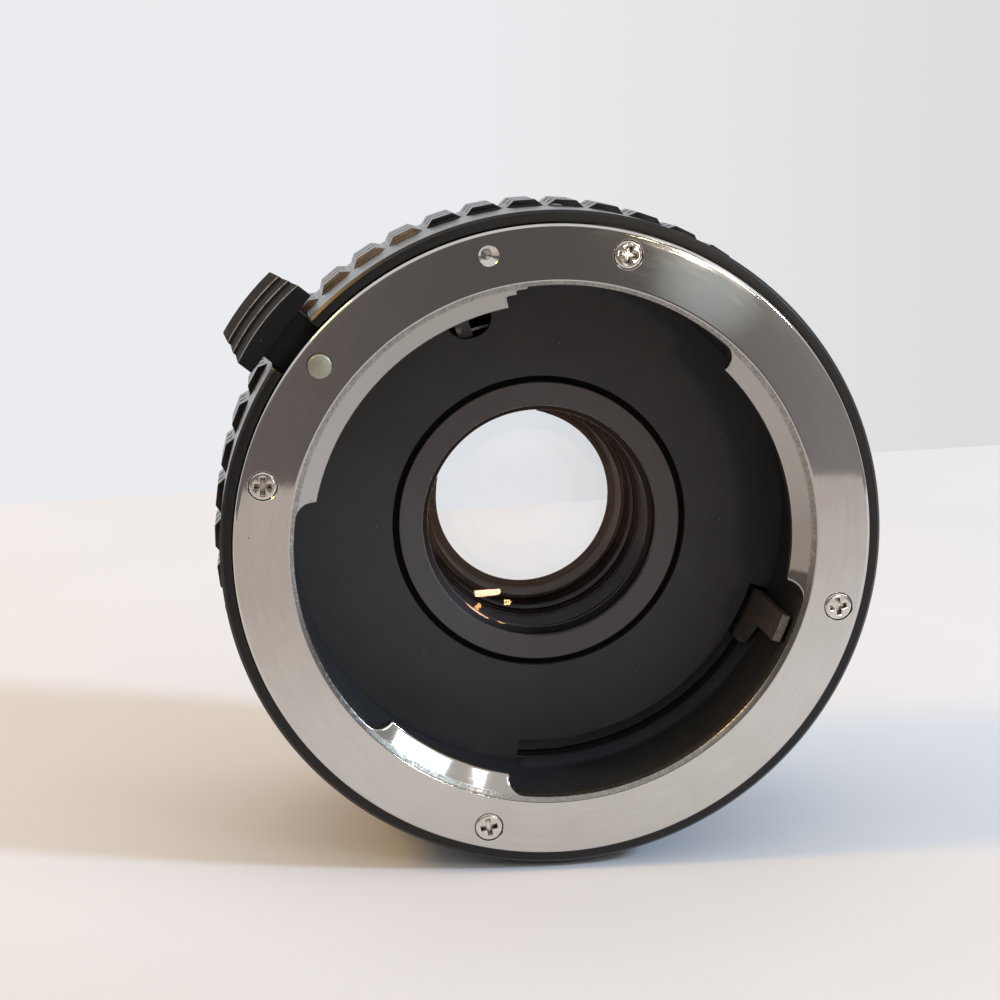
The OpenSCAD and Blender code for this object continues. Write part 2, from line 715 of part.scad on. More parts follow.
// Ring with a shouldered finger to the front and a tab to the rear
module aperture_ring() color("#4a423c") on_axis() {
    root = aperture_d + joined;
    end_w = finger_r * sin(finger_w);
    base_w = finger_r * sin(finger_base_w);
    tube(aperture_in_r, aperture_r, aperture_d, aperture_d + aperture_t);
    intersection() {
        tube(finger_r - finger_t, finger_r, finger_end, root);
        clock(finger_angle) rotate([90, 0, 90]) linear_extrude(ring_r) polygon([[0, finger_end],
            [end_w, finger_end], [end_w, collar_end], [base_w, collar_end + finger_shoulder],
            [base_w, root], [0, root]]);
    }
    tube_sector(tab_out_r - tab_t - tab_root, aperture_in_r + joined, aperture_d, aperture_d + aperture_t,
        finger_angle - tab_w, finger_angle);
    tube_sector(tab_out_r - tab_t, tab_out_r, aperture_d + joined, tab_end,
        finger_angle - tab_w + tab_inset, finger_angle - tab_inset);
}

// Plate that turns on the optical barrel's hub, with a finger to the front and a lever to the rear
module diaphragm_lever() color("#55524e") on_axis() {
    back = lever_d + lever_t;
    arm_to = lever_angle + lever_w;
    tube(lever_bore_r, lever_hub_r, lever_d, back);
    tube_sector(lever_hub_r - joined, lever_arm_r, lever_d, back, lever_angle, arm_to);
    tube_sector(lever_arm_r - lever_finger_t, lever_arm_r, lever_end, back, lever_angle, arm_to);
    tube_sector(rear_lever_r, rear_lever_r + rear_lever_t, lever_d, rear_lever_end, lever_angle, arm_to);
}

// Head with treads, on a shank that runs in the collar's slot
module release_slider() color("#1f1f21") on_axis() clock(slider_angle) difference() {
    tread_len = head_len / treads;
    tread_rise = (head_rear_h - head_front_h) / treads;
    last = treads - 1;
    tread_tops = [for (i = [0:last], end = [0, 1])
        let (drop = end == 1 && i < last ? riser : 0)
        [crown_r + tread_rise * (i + end) - drop, head_front + tread_len * (i + end)]];
    profile = concat(tread_tops, [[crown_r - head_deep, head_back], [crown_r - head_deep, head_front]]);
    union() {
        intersection() {
            translate([underside_r + head_front_h - crown_r, 0, 0]) rotate([0, 0, -head_sweep / 2])
                rotate_extrude(angle = head_sweep) polygon(profile);
            translate([underside_r, 0, 0]) rotate([0, 90, 0]) linear_extrude(collar_r) polygon([
                [-head_front, -head_w / 2], [-head_back, -head_rear_w / 2],
                [-head_back, head_rear_w / 2], [-head_front, head_w / 2]]);
        }
        translate([slot_floor_r + free_gap, -shank_w / 2, shank_front])
            cube([underside_r + shank_top - slot_floor_r - free_gap, shank_w, shank_len]);
    }
    place(pin_angle - slider_angle, screw_r, 0) disc(pin_d / 2 + pin_fit, shank_front - cut, pin_seat);
}

module lock_pin() color("#cfc7b0") on_axis() place(pin_angle, screw_r, 0) intersection() {
    disc(pin_d / 2, -pin_proud, pin_seat - hair);
    translate([0, 0, pin_d - pin_proud]) union() {
        sphere(pin_d);
        disc(pin_d, 0, shank_back + pin_d);
    }
}

// Wire swept along the points of a coil, as one unbroken tube
wire_sides = 6;
curl_steps = 8;
function wire_points(path, outward, r) = [for (i = [0:len(path) - 1])
    let (ahead = path[min(i + 1, len(path) - 1)] - path[max(i - 1, 0)],
        along = ahead / norm(ahead),
        side = outward[i] - (outward[i] * along) * along,
        across = side / norm(side),
        up = cross(along, across))
    for (k = [0:wire_sides - 1])
        let (a = 360 / wire_sides * k) path[i] + r * (cos(a) * across + sin(a) * up)];
module wire(path, outward, r) {
    n = wire_sides;
    end = n * (len(path) - 1);
    rings = [0:n:end - n];
    polyhedron(wire_points(path, outward, r), concat(
        [for (k = [1:n - 2]) [0, k, k + 1]],
        [for (k = [1:n - 2]) [end, end + k + 1, end + k]],
        [for (i = rings, k = [0:n - 1]) [i + k, i + n + k, i + (k + 1) % n]],
        [for (i = rings, k = [0:n - 1]) [i + (k + 1) % n, i + n + k, i + n + (k + 1) % n]]));
}
function least_gap(path, r) = min([for (i = [0:len(path) - 1], j = [i + curl_steps / 2 + 1:len(path) - 1])
    norm(path[i] - path[j])]) - 2 * r;
function coil_turns(curls) = [for (i = [0:curls * curl_steps]) 360 / curl_steps * i];

// Straight compression coil along the slider's travel
release_from = shank_back + release_wire_r + hair;
release_to = spring_end - release_wire_r - hair;
release_turns = coil_turns(release_curls);
release_path = [for (a = release_turns) [release_coil_r * cos(a), release_coil_r * sin(a),
    release_from + (release_to - release_from) * a / (360 * release_curls)]];
module release_spring() color("gainsboro") on_axis() place(pin_angle, screw_r, 0)
    wire(release_path, [for (a = release_turns) [cos(a), sin(a), 0]], release_wire_r);

// Extension coil bent round the optical axis, over an arc of two angles
function arc_at(arc, curls, a) = -arc[0] - (arc[1] - arc[0]) * a / (360 * curls);
function arc_outward(arc, curls) = [for (a = coil_turns(curls))
    let (t = arc_at(arc, curls, a)) [cos(a) * cos(t), cos(a) * sin(t), sin(a)]];
function arc_path(radius, depth, arc, curls) = [for (a = coil_turns(curls))
    let (t = arc_at(arc, curls, a), r = radius + arc_coil_r * cos(a))
    [r * cos(t), r * sin(t), depth + arc_coil_r * sin(a)]];
aperture_path = arc_path(aperture_coil_r, aperture_coil_d, aperture_arc, aperture_curls);
diaphragm_path = arc_path(diaphragm_coil_r, diaphragm_coil_d, diaphragm_arc, diaphragm_curls);
module aperture_spring() color("gainsboro") on_axis()
    wire(aperture_path, arc_outward(aperture_arc, aperture_curls), arc_wire_r);
module diaphragm_spring() color("gainsboro") on_axis()
    wire(diaphragm_path, arc_outward(diaphragm_arc, diaphragm_curls), arc_wire_r);

echo(release_spring_gap = least_gap(release_path, release_wire_r));
echo(aperture_spring_gap = least_gap(aperture_path, arc_wire_r));
echo(diaphragm_spring_gap = least_gap(diaphragm_path, arc_wire_r));

lens_mount_ring();
lens_mount_screws();
bayonet_leaf_springs();
front_barrel();
index_dot();
grip_ring();
rear_barrel();
barrel_screws();
rear_mount_ring();
rear_mount_screws();
front_baffle();
optical_barrel();
front_retaining_ring();
front_lens();
front_spacer();
second_lens();
middle_spacer();
third_lens();
rear_spacer();
rear_lens();
rear_retaining_ring();
rear_baffle();
barrel_lock_ring();
aperture_clip();
aperture_ring();
aperture_spring();
diaphragm_lever();
diaphragm_spring();
release_slider();
lock_pin();
release_spring();
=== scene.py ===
import math

import bmesh
import bpy
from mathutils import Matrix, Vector


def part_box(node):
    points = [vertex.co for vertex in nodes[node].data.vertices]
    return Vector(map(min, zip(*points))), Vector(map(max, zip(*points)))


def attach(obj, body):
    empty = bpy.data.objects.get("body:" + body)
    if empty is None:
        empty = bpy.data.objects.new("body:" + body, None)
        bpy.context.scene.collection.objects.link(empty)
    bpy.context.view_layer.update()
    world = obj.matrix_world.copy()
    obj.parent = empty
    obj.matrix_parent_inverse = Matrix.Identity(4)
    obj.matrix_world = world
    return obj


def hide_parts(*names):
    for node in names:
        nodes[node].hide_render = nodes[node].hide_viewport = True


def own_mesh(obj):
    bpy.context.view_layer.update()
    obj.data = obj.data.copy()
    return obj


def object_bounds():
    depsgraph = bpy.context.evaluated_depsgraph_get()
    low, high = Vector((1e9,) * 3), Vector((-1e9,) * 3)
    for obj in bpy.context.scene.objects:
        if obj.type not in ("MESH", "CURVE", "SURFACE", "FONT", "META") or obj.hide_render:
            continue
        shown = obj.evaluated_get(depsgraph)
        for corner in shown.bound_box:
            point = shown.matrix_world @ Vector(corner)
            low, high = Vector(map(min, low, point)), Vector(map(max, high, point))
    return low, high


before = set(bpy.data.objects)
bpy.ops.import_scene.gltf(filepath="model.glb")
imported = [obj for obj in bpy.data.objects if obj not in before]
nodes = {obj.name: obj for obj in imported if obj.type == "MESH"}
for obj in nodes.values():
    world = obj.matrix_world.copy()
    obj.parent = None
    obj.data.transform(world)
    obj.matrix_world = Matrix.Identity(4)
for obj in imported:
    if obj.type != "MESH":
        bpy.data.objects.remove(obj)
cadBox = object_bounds()
mm = 0.001  # the sizes below are millimetres, and Blender's are metres
print("frame loaded:", len(nodes), "nodes")


# Meshes: every piece is made in millimetres about the optical axis, which is +Y

def makeObject(name, points, faces):
    mesh = bpy.data.meshes.new(name)
    mesh.from_pydata([Vector(p) * mm for p in points], [], faces)
    obj = bpy.data.objects.new(name, mesh)
    bpy.context.scene.collection.objects.link(obj)
    cleanMesh(obj)
    return obj


def cleanMesh(obj, reach=0.001 * mm):
    work = bmesh.new()
    work.from_mesh(obj.data)
    bmesh.ops.remove_doubles(work, verts=work.verts, dist=reach)
    bmesh.ops.dissolve_degenerate(work, dist=reach, edges=work.edges)
    bmesh.ops.recalc_face_normals(work, faces=work.faces)
    work.to_mesh(obj.data)
    work.free()


def applyModifiers(obj):
    evaluated = obj.evaluated_get(bpy.context.evaluated_depsgraph_get())
    mesh = bpy.data.meshes.new_from_object(evaluated)
    obj.modifiers.clear()
    old = obj.data
    obj.data = mesh
    bpy.data.meshes.remove(old)
    mesh.name = obj.name


def combine(obj, others, operation="DIFFERENCE"):
    for other in others:
        step = obj.modifiers.new("combine", "BOOLEAN")
        step.object = other
        step.operation = operation
        step.solver = "EXACT"
    applyModifiers(obj)
    for other in others:
        bpy.data.objects.remove(other)


# Rounds the outer edges that are sharper than an angle, all of them or the chosen ones
def bevel(obj, width, segments=2, angle=35, chosen=None, finish=-1):
    work = bmesh.new()
    work.from_mesh(obj.data)
    edges = [e for e in work.edges if e.is_manifold and e.is_convex and e.calc_face_angle() > math.radians(angle)
             and (chosen is None or chosen(e))]
    bmesh.ops.bevel(work, geom=edges, offset=width * mm, offset_type="OFFSET", segments=segments, profile=0.5,
                    affect="EDGES", clamp_overlap=False, material=finish)
    work.to_mesh(obj.data)
    work.free()


def smooth(obj, angle=35):
    obj.data.shade_smooth()
    obj.data.set_sharp_from_angle(angle=math.radians(angle))
    step = obj.modifiers.new("normals", "WEIGHTED_NORMAL")  # keeps the flat faces flat beside their fillets
    step.keep_sharp = True
    step.weight = 80
    applyModifiers(obj)


def piece(obj, body, slotName, materials, *replaced):
    while len(obj.data.materials) < len(materials):
        obj.data.materials.append(None)
    for i, material in enumerate(materials):
        obj.data.materials[i] = material
    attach(obj, body)
    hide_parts(*replaced)
    print("piece", obj.name, len(obj.data.polygons), "faces")


def rounded(corners, arcSteps=4):  # outline of (radius, depth, fillet) as points, each fillet a short curve
    outline = []
    for i, (r, d, fillet) in enumerate(corners):
        here = Vector((r, d))
        if not fillet:
            outline.append(here)
            continue
        before = Vector(corners[i - 1][:2]) - here
        after = Vector(corners[(i + 1) % len(corners)][:2]) - here
        back = fillet / math.tan(before.angle(after) / 2)
        start = here + before.normalized() * back
        end = here + after.normalized() * back
        for k in range(arcSteps + 1):
            t = k / arcSteps
            outline.append((1 - t) ** 2 * start + 2 * t * (1 - t) * here + t * t * end)
    return outline


def lathe(name, corners, steps=256, centre=(0, 0)):  # closed outline spun about an axis along +Y
    outline = rounded(corners)
    count = len(outline)
    points, faces = [], []
    for i in range(steps):
        a = 2 * math.pi * i / steps
        points += [(centre[0] + r * math.cos(a), d, centre[1] + r * math.sin(a)) for r, d in outline]
        for k in range(count):
            n, j = (k + 1) % count, (i + 1) % steps
            if outline[k][0] or outline[n][0]:
                faces.append((i * count + k, i * count + n, j * count + n, j * count + k))
    return makeObject(name, points, faces)


boxFaces = ((0, 1, 2, 3), (7, 6, 5, 4), (0, 4, 5, 1), (1, 5, 6, 2), (2, 6, 7, 3), (3, 7, 4, 0))  # by its corners


def polar(angle, radius):  # angles are seen from the front, counter-clockwise from the right
    a = math.radians(angle)
    return Vector((radius * math.cos(a), radius * math.sin(a)))


def arc(angleFrom, angleTo, radius, step=0.5):
    count = max(1, math.ceil((angleTo - angleFrom) / step))
    return [polar(angleFrom + (angleTo - angleFrom) * i / count, radius) for i in range(count + 1)]


def camelName(node):
    first, last = node.split("_")
    return first + last.title()


# Node trees

def linear(hexText):  # sRGB hex to linear
    channels = [int(hexText[i:i + 2], 16) / 255 for i in (1, 3, 5)]
    return [c / 12.92 if c <= 0.04045 else ((c + 0.055) / 1.055) ** 2.4 for c in channels] + [1]


# Adds one node, with its inputs in order or by name and its settings, and gives back an output
def add(tree, kind, *values, out=None, named=None, **settings):
    node = tree.nodes.new(kind if "Node" in kind else "ShaderNode" + kind)
    for key, value in settings.items():
        setattr(node, key, value)
    given = list(zip([s for s in node.inputs if s.enabled], values))
    given += [(node.inputs[key], value) for key, value in (named or {}).items()]
    for socket, value in given:
        if isinstance(value, bpy.types.NodeSocket):
            tree.links.new(value, socket)
        elif value is not None:
            socket.default_value = linear(value) if isinstance(value, str) else value
    if out == "all":
        return node.outputs
    return node.outputs[out] if out else next((s for s in node.outputs if s.enabled), None)


def newMaterial(name):
    material = bpy.data.materials.new(name)
    material.use_nodes = True
    material.node_tree.nodes.clear()
    return material, material.node_tree


def surface(tree, inputs):
    add(tree, "OutputMaterial", add(tree, "BsdfPrincipled", named=inputs))


# Object coordinates in mm, the radius and angle about the optical axis, and how far a face looks along it
def places(tree):
    coords = add(tree, "TexCoord", out="all")
    point = add(tree, "VectorMath", coords["Object"], operation="SCALE", named={"Scale": 1 / mm})
    x, depth, z = add(tree, "SeparateXYZ", point, out="all")
    radius = add(tree, "VectorMath", add(tree, "CombineXYZ", x, 0, z), operation="LENGTH", out="Value")
    angle = add(tree, "Math", z, x, operation="ARCTAN2")
    facing = add(tree, "SeparateXYZ", coords["Normal"], out="all")["Y"]
    return {"point": point, "depth": depth, "radius": radius, "angle": angle, "facing": facing}


def specks(tree, point, spacing, size, share):  # 1 on scattered dots, 0 between them, sizes in mm
    cells = add(tree, "TexVoronoi", point, named={"Scale": 1 / spacing}, out="all")
    dot = add(tree, "MapRange", cells["Distance"], size / spacing, 0.6 * size / spacing)
    pick = add(tree, "SeparateColor", cells["Color"])
    return add(tree, "Math", dot, add(tree, "Math", pick, share, operation="LESS_THAN"), operation="MULTIPLY")


def edgeWear(tree, reach):  # 1 on edges that rub, from how far a rounded normal leans from the true one
    soft = add(tree, "Bevel", reach * mm, samples=6)
    true = add(tree, "NewGeometry", out="Normal")
    same = add(tree, "VectorMath", soft, true, operation="DOT_PRODUCT", out="Value")
    return add(tree, "MapRange", same, 0.985, 0.88)


def within(tree, value, low, high, soft):  # 1 between two limits
    rise = add(tree, "MapRange", value, low - soft, low + soft)
    fall = add(tree, "MapRange", value, high + soft, high - soft)
    return add(tree, "Math", rise, fall, operation="MULTIPLY")


throat = 24.88  # radius at which the mount ring's flat face turns into the slope of the tabs


# Chrome plate over turned brass: near-mirror with faint wipes and pits, duller in the throat where claws scrape it
chromeLook = {"plate": ("#cfcdca", "#c6c4c1"), "hazy": "#c8c6c2", "slope": "#a8a5a1", "scraped": "#84827e",
              "cut": ("#5d594f", "#b3ada0"), "pit": "#3a3634", "pitSpacing": 2.4, "pitSize": 0.08, "pitShare": 0.16,
              "wipe": 0.5, "wipesRound": 18, "haze": 4, "grit": 0.3, "cutLine": 0.22,
              "scrapeFrom": 0.62, "scrapeTo": 0.46, "polish": (0.03, 0.05), "hazeRough": 0.012, "wornRough": 0.34}


def turnedChrome(name, inner, s=chromeLook):
    material, tree = newMaterial(name)
    at = places(tree)
    half = s["wipesRound"] / 2
    swirl = add(tree, "CombineXYZ", at["radius"], add(tree, "MapRange", at["angle"], -math.pi, math.pi, -half, half))
    wipes = add(tree, "TexNoise", swirl, 1 / s["wipe"], 5, 0.65)
    haze = add(tree, "TexNoise", at["point"], 1 / s["haze"], 3)
    grit = add(tree, "TexNoise", at["point"], 1 / s["grit"], 4, 0.7)
    pits = specks(tree, at["point"], s["pitSpacing"], s["pitSize"], s["pitShare"])
    sloped = add(tree, "MapRange", at["radius"], inner - 0.02, inner - 0.08)
    outer = add(tree, "MapRange", at["radius"], inner - s["scrapeFrom"], inner - s["scrapeTo"])
    patchy = add(tree, "Math", outer, add(tree, "MapRange", grit, 0.25, 0.6), operation="MULTIPLY")
    scraped = add(tree, "Math", sloped, patchy, operation="MULTIPLY")
    steep = add(tree, "MapRange", add(tree, "Math", at["facing"], operation="ABSOLUTE"), 0.5, 0.3)
    wall = add(tree, "Math", sloped, steep, operation="MULTIPLY")
    plain = add(tree, "Mix", add(tree, "MapRange", wipes, 0.35, 0.75), *s["plate"], data_type="RGBA")
    hazy = add(tree, "Mix", add(tree, "MapRange", haze, 0.45, 0.7), plain, s["hazy"], data_type="RGBA")
    slope = add(tree, "Mix", sloped, hazy, s["slope"], data_type="RGBA")
    rough = add(tree, "Mix", scraped, slope, s["scraped"], data_type="RGBA")
    lines = add(tree, "TexNoise", add(tree, "CombineXYZ", at["depth"], at["radius"]), 1 / s["cutLine"], 3)
    cut = add(tree, "Mix", add(tree, "MapRange", lines, 0.4, 0.6), *s["cut"], data_type="RGBA")
    milled = add(tree, "Mix", wall, rough, cut, data_type="RGBA")
    colour = add(tree, "Mix", pits, milled, s["pit"], data_type="RGBA")
    polish = add(tree, "Math", add(tree, "MapRange", wipes, 0.3, 0.7, *s["polish"]),
                 add(tree, "MapRange", haze, 0.35, 0.7, 0.0, s["hazeRough"]), operation="ADD")
    dulled = add(tree, "Math", scraped, wall, operation="MAXIMUM")
    worn = add(tree, "Math", dulled, s["wornRough"], operation="MULTIPLY")
    bump = add(tree, "Bump", named={"Height": wipes, "Strength": 0.04, "Distance": 0.02 * mm})
    surface(tree, {"Base Color": colour, "Metallic": 1.0, "Normal": bump,
                   "Roughness": add(tree, "Math", polish, worn, operation="MAXIMUM")})
    return material


# Black anodised aluminium: deep black, a little patchy, a sheen like lacquer at low angles, grey where edges rub
anodised = {"patch": 3, "chip": 0.35, "dustSpacing": 0.9, "dustSize": 0.045, "dust": "#8b857d",
            "primer": ("#6b5543", "#8f7658"), "coatRough": 0.3, "coatIor": 1.25}


def blackAnodise(name, look, s=anodised):
    material, tree = newMaterial(name)
    at = places(tree)
    patches = add(tree, "TexNoise", at["point"], 1 / s["patch"], 5, 0.6)
    chips = add(tree, "TexNoise", at["point"], 1 / s["chip"], 4, 0.7)
    rubbed = edgeWear(tree, look["wearReach"])
    worn = add(tree, "Math", rubbed, add(tree, "MapRange", chips, 0.62 - look["wear"], 0.78 - look["wear"]),
               operation="MULTIPLY")
    dust = specks(tree, at["point"], s["dustSpacing"], s["dustSize"], look["dust"])
    dyed = add(tree, "Mix", add(tree, "MapRange", patches, 0.35, 0.7), look["dark"], look["pale"], data_type="RGBA")
    if "brown" in look:  # pad ends that are rubbed down to the brown primer
        patch = within(tree, at["angle"], *look["brown"], 0.03)
        ends = add(tree, "MapRange", at["facing"], -0.8, -0.95)
        bald = add(tree, "Math", patch, ends, operation="MULTIPLY")
        mottled = add(tree, "Mix", add(tree, "MapRange", chips, 0.3, 0.7), *s["primer"], data_type="RGBA")
        dyed = add(tree, "Mix", bald, dyed, mottled, data_type="RGBA")
    dusty = add(tree, "Mix", dust, dyed, s["dust"], data_type="RGBA")
    colour = add(tree, "Mix", worn, dusty, look["bare"], data_type="RGBA")
    surface(tree, {"Base Color": colour, "Metallic": add(tree, "Math", worn, 0.8, operation="MULTIPLY"),
                   "Roughness": add(tree, "MapRange", patches, 0.3, 0.7, *look["rough"]),
                   "Specular IOR Level": look["shine"], "Coat Weight": look["coat"],
                   "Coat Roughness": s["coatRough"], "Coat IOR": s["coatIor"]})
    return material


# Bare aluminium where the finish has rubbed off an edge, drawn lighter as a painted highlight: a thin light line,
# broken here and there
def stepEdgeHighlight():
    material, tree = newMaterial("rubbedEdgePaintedHighlight")
    at = places(tree)
    breaks = add(tree, "TexNoise", at["point"], 1 / 0.5, 4, 0.7)
    colour = add(tree, "Mix", add(tree, "MapRange", breaks, 0.5, 0.68), "#868a90", "#2a2826", data_type="RGBA")
    surface(tree, {"Base Color": colour, "Metallic": 0.2, "Roughness": 0.4})
    return material


# Matt black paint inside the throat: flat and grainy with settled dust. The cup's wall is painted darker as shade in
# the deep recess, and a lighter bluish band of painted light is put on it where the crescent slot looks in, standing
# for the lit face of the aperture ring.
matt = {"paint": ("#232324", "#2d2c2d"), "wall": "#1d1d1f", "band": "#383a42", "dust": "#7d7871",
        "grain": 0.18, "patch": 4, "dustSpacing": 0.9, "dustSize": 0.06, "dustShare": 0.2,
        "shadedWallRadius": (24.2, 24.5), "litBandAngles": (-1.64, -0.4), "litBandDepth": (9.3, 10.3), "rough": (0.5, 0.65)}


def mattPaint(s=matt):
    material, tree = newMaterial("mattBlackPaint")
    at = places(tree)
    grain = add(tree, "TexNoise", at["point"], 1 / s["grain"], 3, 0.7)
    patches = add(tree, "TexNoise", at["point"], 1 / s["patch"], 4)
    dust = specks(tree, at["point"], s["dustSpacing"], s["dustSize"], s["dustShare"])
    # painted shade: the deep cup wall is darker than the face
    wall = add(tree, "MapRange", at["radius"], *s["shadedWallRadius"])
    paint = add(tree, "Mix", add(tree, "MapRange", patches, 0.3, 0.7), *s["paint"], data_type="RGBA")
    # painted light: a lighter bluish band on the wall, within the slot's angles and depths
    band = add(tree, "Math", within(tree, at["angle"], *s["litBandAngles"], 0.02),
               add(tree, "MapRange", at["depth"], *s["litBandDepth"]), operation="MULTIPLY")
    side = add(tree, "Mix", band, s["wall"], s["band"], data_type="RGBA")
    shadeAndLitBand = add(tree, "Mix", wall, paint, side, data_type="RGBA")
    colour = add(tree, "Mix", dust, shadeAndLitBand, s["dust"], data_type="RGBA")
    bump = add(tree, "Bump", named={"Height": grain, "Strength": 0.3, "Distance": 0.03 * mm})
    surface(tree, {"Base Color": colour, "Normal": bump,
                   "Roughness": add(tree, "MapRange", patches, 0.3, 0.7, *s["rough"])})
    return material


# Dead black for the gap round the bezel: swallows nearly all light
def deadBlack():
    material, tree = newMaterial("blackOxideMatt")
    at = places(tree)
    tone = add(tree, "TexNoise", at["point"], 1 / 0.6, 3)
    colour = add(tree, "Mix", tone, "#0a0a0a", "#101011", data_type="RGBA")
    surface(tree, {"Base Color": colour, "Roughness": 0.8, "Specular IOR Level": 0.15})
    return material


# Optical glass, polished and coated: a thin film takes most of the reflection and leaves it amber or purple.
# Its edge is painted dark, and so is the rim of the front face; at the lower left that paint is lighter, as painted
# light.
glass = {"paint": "#1c1c1e", "paintLit": "#45454a", "litAngles": (-2.7, -1.9), "lipDepth": (14.3, 14.1),
         "filmIor": 1.38, "dustSpacing": 1.6, "dustSize": 0.035, "dustShare": 0.1}


def coatedGlass(name, ior, film, s=glass):
    material, tree = newMaterial(name)
    at = places(tree)
    edge = add(tree, "MapRange", at["radius"], optics["clear"] + 0.03, optics["clear"] + 0.06)
    lip = add(tree, "Math", add(tree, "MapRange", at["radius"], optics["lip"] - 0.02, optics["lip"] + 0.02),
              add(tree, "MapRange", at["depth"], *s["lipDepth"]), operation="MULTIPLY")
    painted = add(tree, "Math", edge, lip, operation="MAXIMUM")
    # painted light: the dark paint is lighter at the lower left of the lens
    litLowerLeft = within(tree, at["angle"], *s["litAngles"], 0.35)
    paint = add(tree, "Mix", litLowerLeft, s["paint"], s["paintLit"], data_type="RGBA")
    dust = specks(tree, at["point"], s["dustSpacing"], s["dustSize"], s["dustShare"])
    surface(tree, {"Base Color": add(tree, "Mix", painted, "#ffffff", paint, data_type="RGBA"), "IOR": ior,
                   "Roughness": add(tree, "Math", edge, dust, operation="MAXIMUM"),
                   "Transmission Weight": add(tree, "Math", 1.0, painted, operation="SUBTRACT"),
                   "Thin Film Thickness": add(tree, "MapRange", edge, 0, 1, film, 0), "Thin Film IOR": s["filmIor"]})
    return material


# Nickel plate: bright, slightly warm, darkened as painted shade where the surface is occluded, in the recess
def nickelPlate(name, look):
    material, tree = newMaterial(name)
    at = places(tree)
    scuffs = add(tree, "TexNoise", at["point"], 1 / 0.3, 5, 0.7)
    # painted shade: near black wherever ambient occlusion finds the surface hemmed in
    occludedShade = add(tree, "AmbientOcclusion", named={"Distance": look["reach"] * mm}, samples=8, out="AO")
    clean = add(tree, "Mix", add(tree, "MapRange", scuffs, 0.35, 0.7), look["bright"], look["dull"], data_type="RGBA")
    colour = add(tree, "Mix", add(tree, "MapRange", occludedShade, 0.6, 0.35), clean, "#151311", data_type="RGBA")
    bump = add(tree, "Bump", named={"Height": scuffs, "Strength": look["bump"], "Distance": 0.02 * mm})
    surface(tree, {"Base Color": colour, "Metallic": 1.0, "Normal": bump,
                   "Roughness": add(tree, "MapRange", scuffs, 0.3, 0.7, *look["rough"])})
    return material


# Blackened steel: blue-black, browned on the finger, rubbed bright on the ends that touch the lens and the camera,
# with a small painted glint on the diaphragm lever's arm
levers = {"blue": ("#3a3c42", "#44464d"), "brown": ("#463e39", "#564d46"), "bare": ("#4c4a47", "#7a7773"),
          "mottle": 0.9, "brush": (12, 1.2, 3), "rough": (0.35, 0.5), "edge": 0.12, "brownTo": (12.9, 12.6),
          "frontEnd": (1.9, 1.52), "rearEnd": (35.2, 36.2), "glintAt": (-7.9, 13.05, 18.97), "glintSize": 0.4}


def blackenedSteel(s=levers):
    material, tree = newMaterial("blackenedSteel")
    at = places(tree)
    mottle = add(tree, "TexNoise", at["point"], 1 / s["mottle"], 5, 0.65)
    tone = add(tree, "MapRange", mottle, 0.35, 0.7)
    brushed = add(tree, "TexNoise", add(tree, "Mapping", at["point"], named={"Scale": s["brush"]}), 1, 3)
    ends = add(tree, "Math", add(tree, "MapRange", at["depth"], *s["frontEnd"]),
               add(tree, "MapRange", at["depth"], *s["rearEnd"]), operation="MAXIMUM")
    # painted highlight: a bright spot at one point of the lever's arm; the ends' brightness is wear
    glintSpot = add(tree, "VectorMath", at["point"], s["glintAt"], operation="DISTANCE", out="Value")
    rubbed = add(tree, "Math", ends, add(tree, "MapRange", glintSpot, s["glintSize"], 0.5 * s["glintSize"]),
                 operation="MAXIMUM")
    edges = add(tree, "Math", edgeWear(tree, s["edge"]), add(tree, "MapRange", mottle, 0.45, 0.65),
                operation="MULTIPLY")
    bare = add(tree, "Math", rubbed, edges, operation="MAXIMUM")
    blue = add(tree, "Mix", tone, *s["blue"], data_type="RGBA")
    brown = add(tree, "Mix", tone, *s["brown"], data_type="RGBA")
    black = add(tree, "Mix", add(tree, "MapRange", at["depth"], *s["brownTo"]), blue, brown, data_type="RGBA")
    steel = add(tree, "Mix", add(tree, "MapRange", brushed, 0.3, 0.7), *s["bare"], data_type="RGBA")
    surface(tree, {"Base Color": add(tree, "Mix", bare, black, steel, data_type="RGBA"),
                   "Metallic": add(tree, "MapRange", bare, 0, 1, 0.1, 1.0),
                   "Roughness": add(tree, "MapRange", mottle, 0.3, 0.7, *s["rough"])})
    return material


# Spring metal: drawn or rolled, with fine lines along it
def springMetal(name, bright, dull):
    material, tree = newMaterial(name)
    lines = add(tree, "TexNoise", places(tree)["point"], 1 / 0.15, 4)
    colour = add(tree, "Mix", add(tree, "MapRange", lines, 0.3, 0.7), bright, dull, data_type="RGBA")
    surface(tree, {"Base Color": colour, "Metallic": 1.0,
                   "Roughness": add(tree, "MapRange", lines, 0.3, 0.7, 0.22, 0.4)})
    return material


# Enamel pressed into its hole: dull grey, slightly uneven
def dullEnamel():
    material, tree = newMaterial("greyEnamel")
    grime = add(tree, "TexNoise", places(tree)["point"], 1 / 0.25, 4)
    colour = add(tree, "Mix", add(tree, "MapRange", grime, 0.35, 0.7), "#5c5955", "#38352f", data_type="RGBA")
    surface(tree, {"Base Color": colour, "Roughness": add(tree, "MapRange", grime, 0.3, 0.7, 0.3, 0.5)})
    return material


# Lens group: smooth lenses, and the rings that hold them with stray-light grooves turned inside
optics = {"lensRadius": 12.9, "clear": 11.8, "lip": 11.05, "front": 12.0, "skirt": 0.58,
          "bezel": 13.96, "bezelIn": 11.6, "bezelThick": 0.8, "bezelCone": (0.1, 0.3), "bezelRound": 0.09,
          "spacer": 12.2, "pitch": 0.24, "tooth": 0.025, "ledge": 0.1, "ledgeLength": 0.3,
          "lenses": (("front_lens", (-65, 45), 1.6), ("second_lens", (80, -110), 3.0),
                     ("third_lens", (-80, 90), 1.6), ("rear_lens", (80, -140), 3.0)),
          "air": (3.0, 2.8, 2.6)}

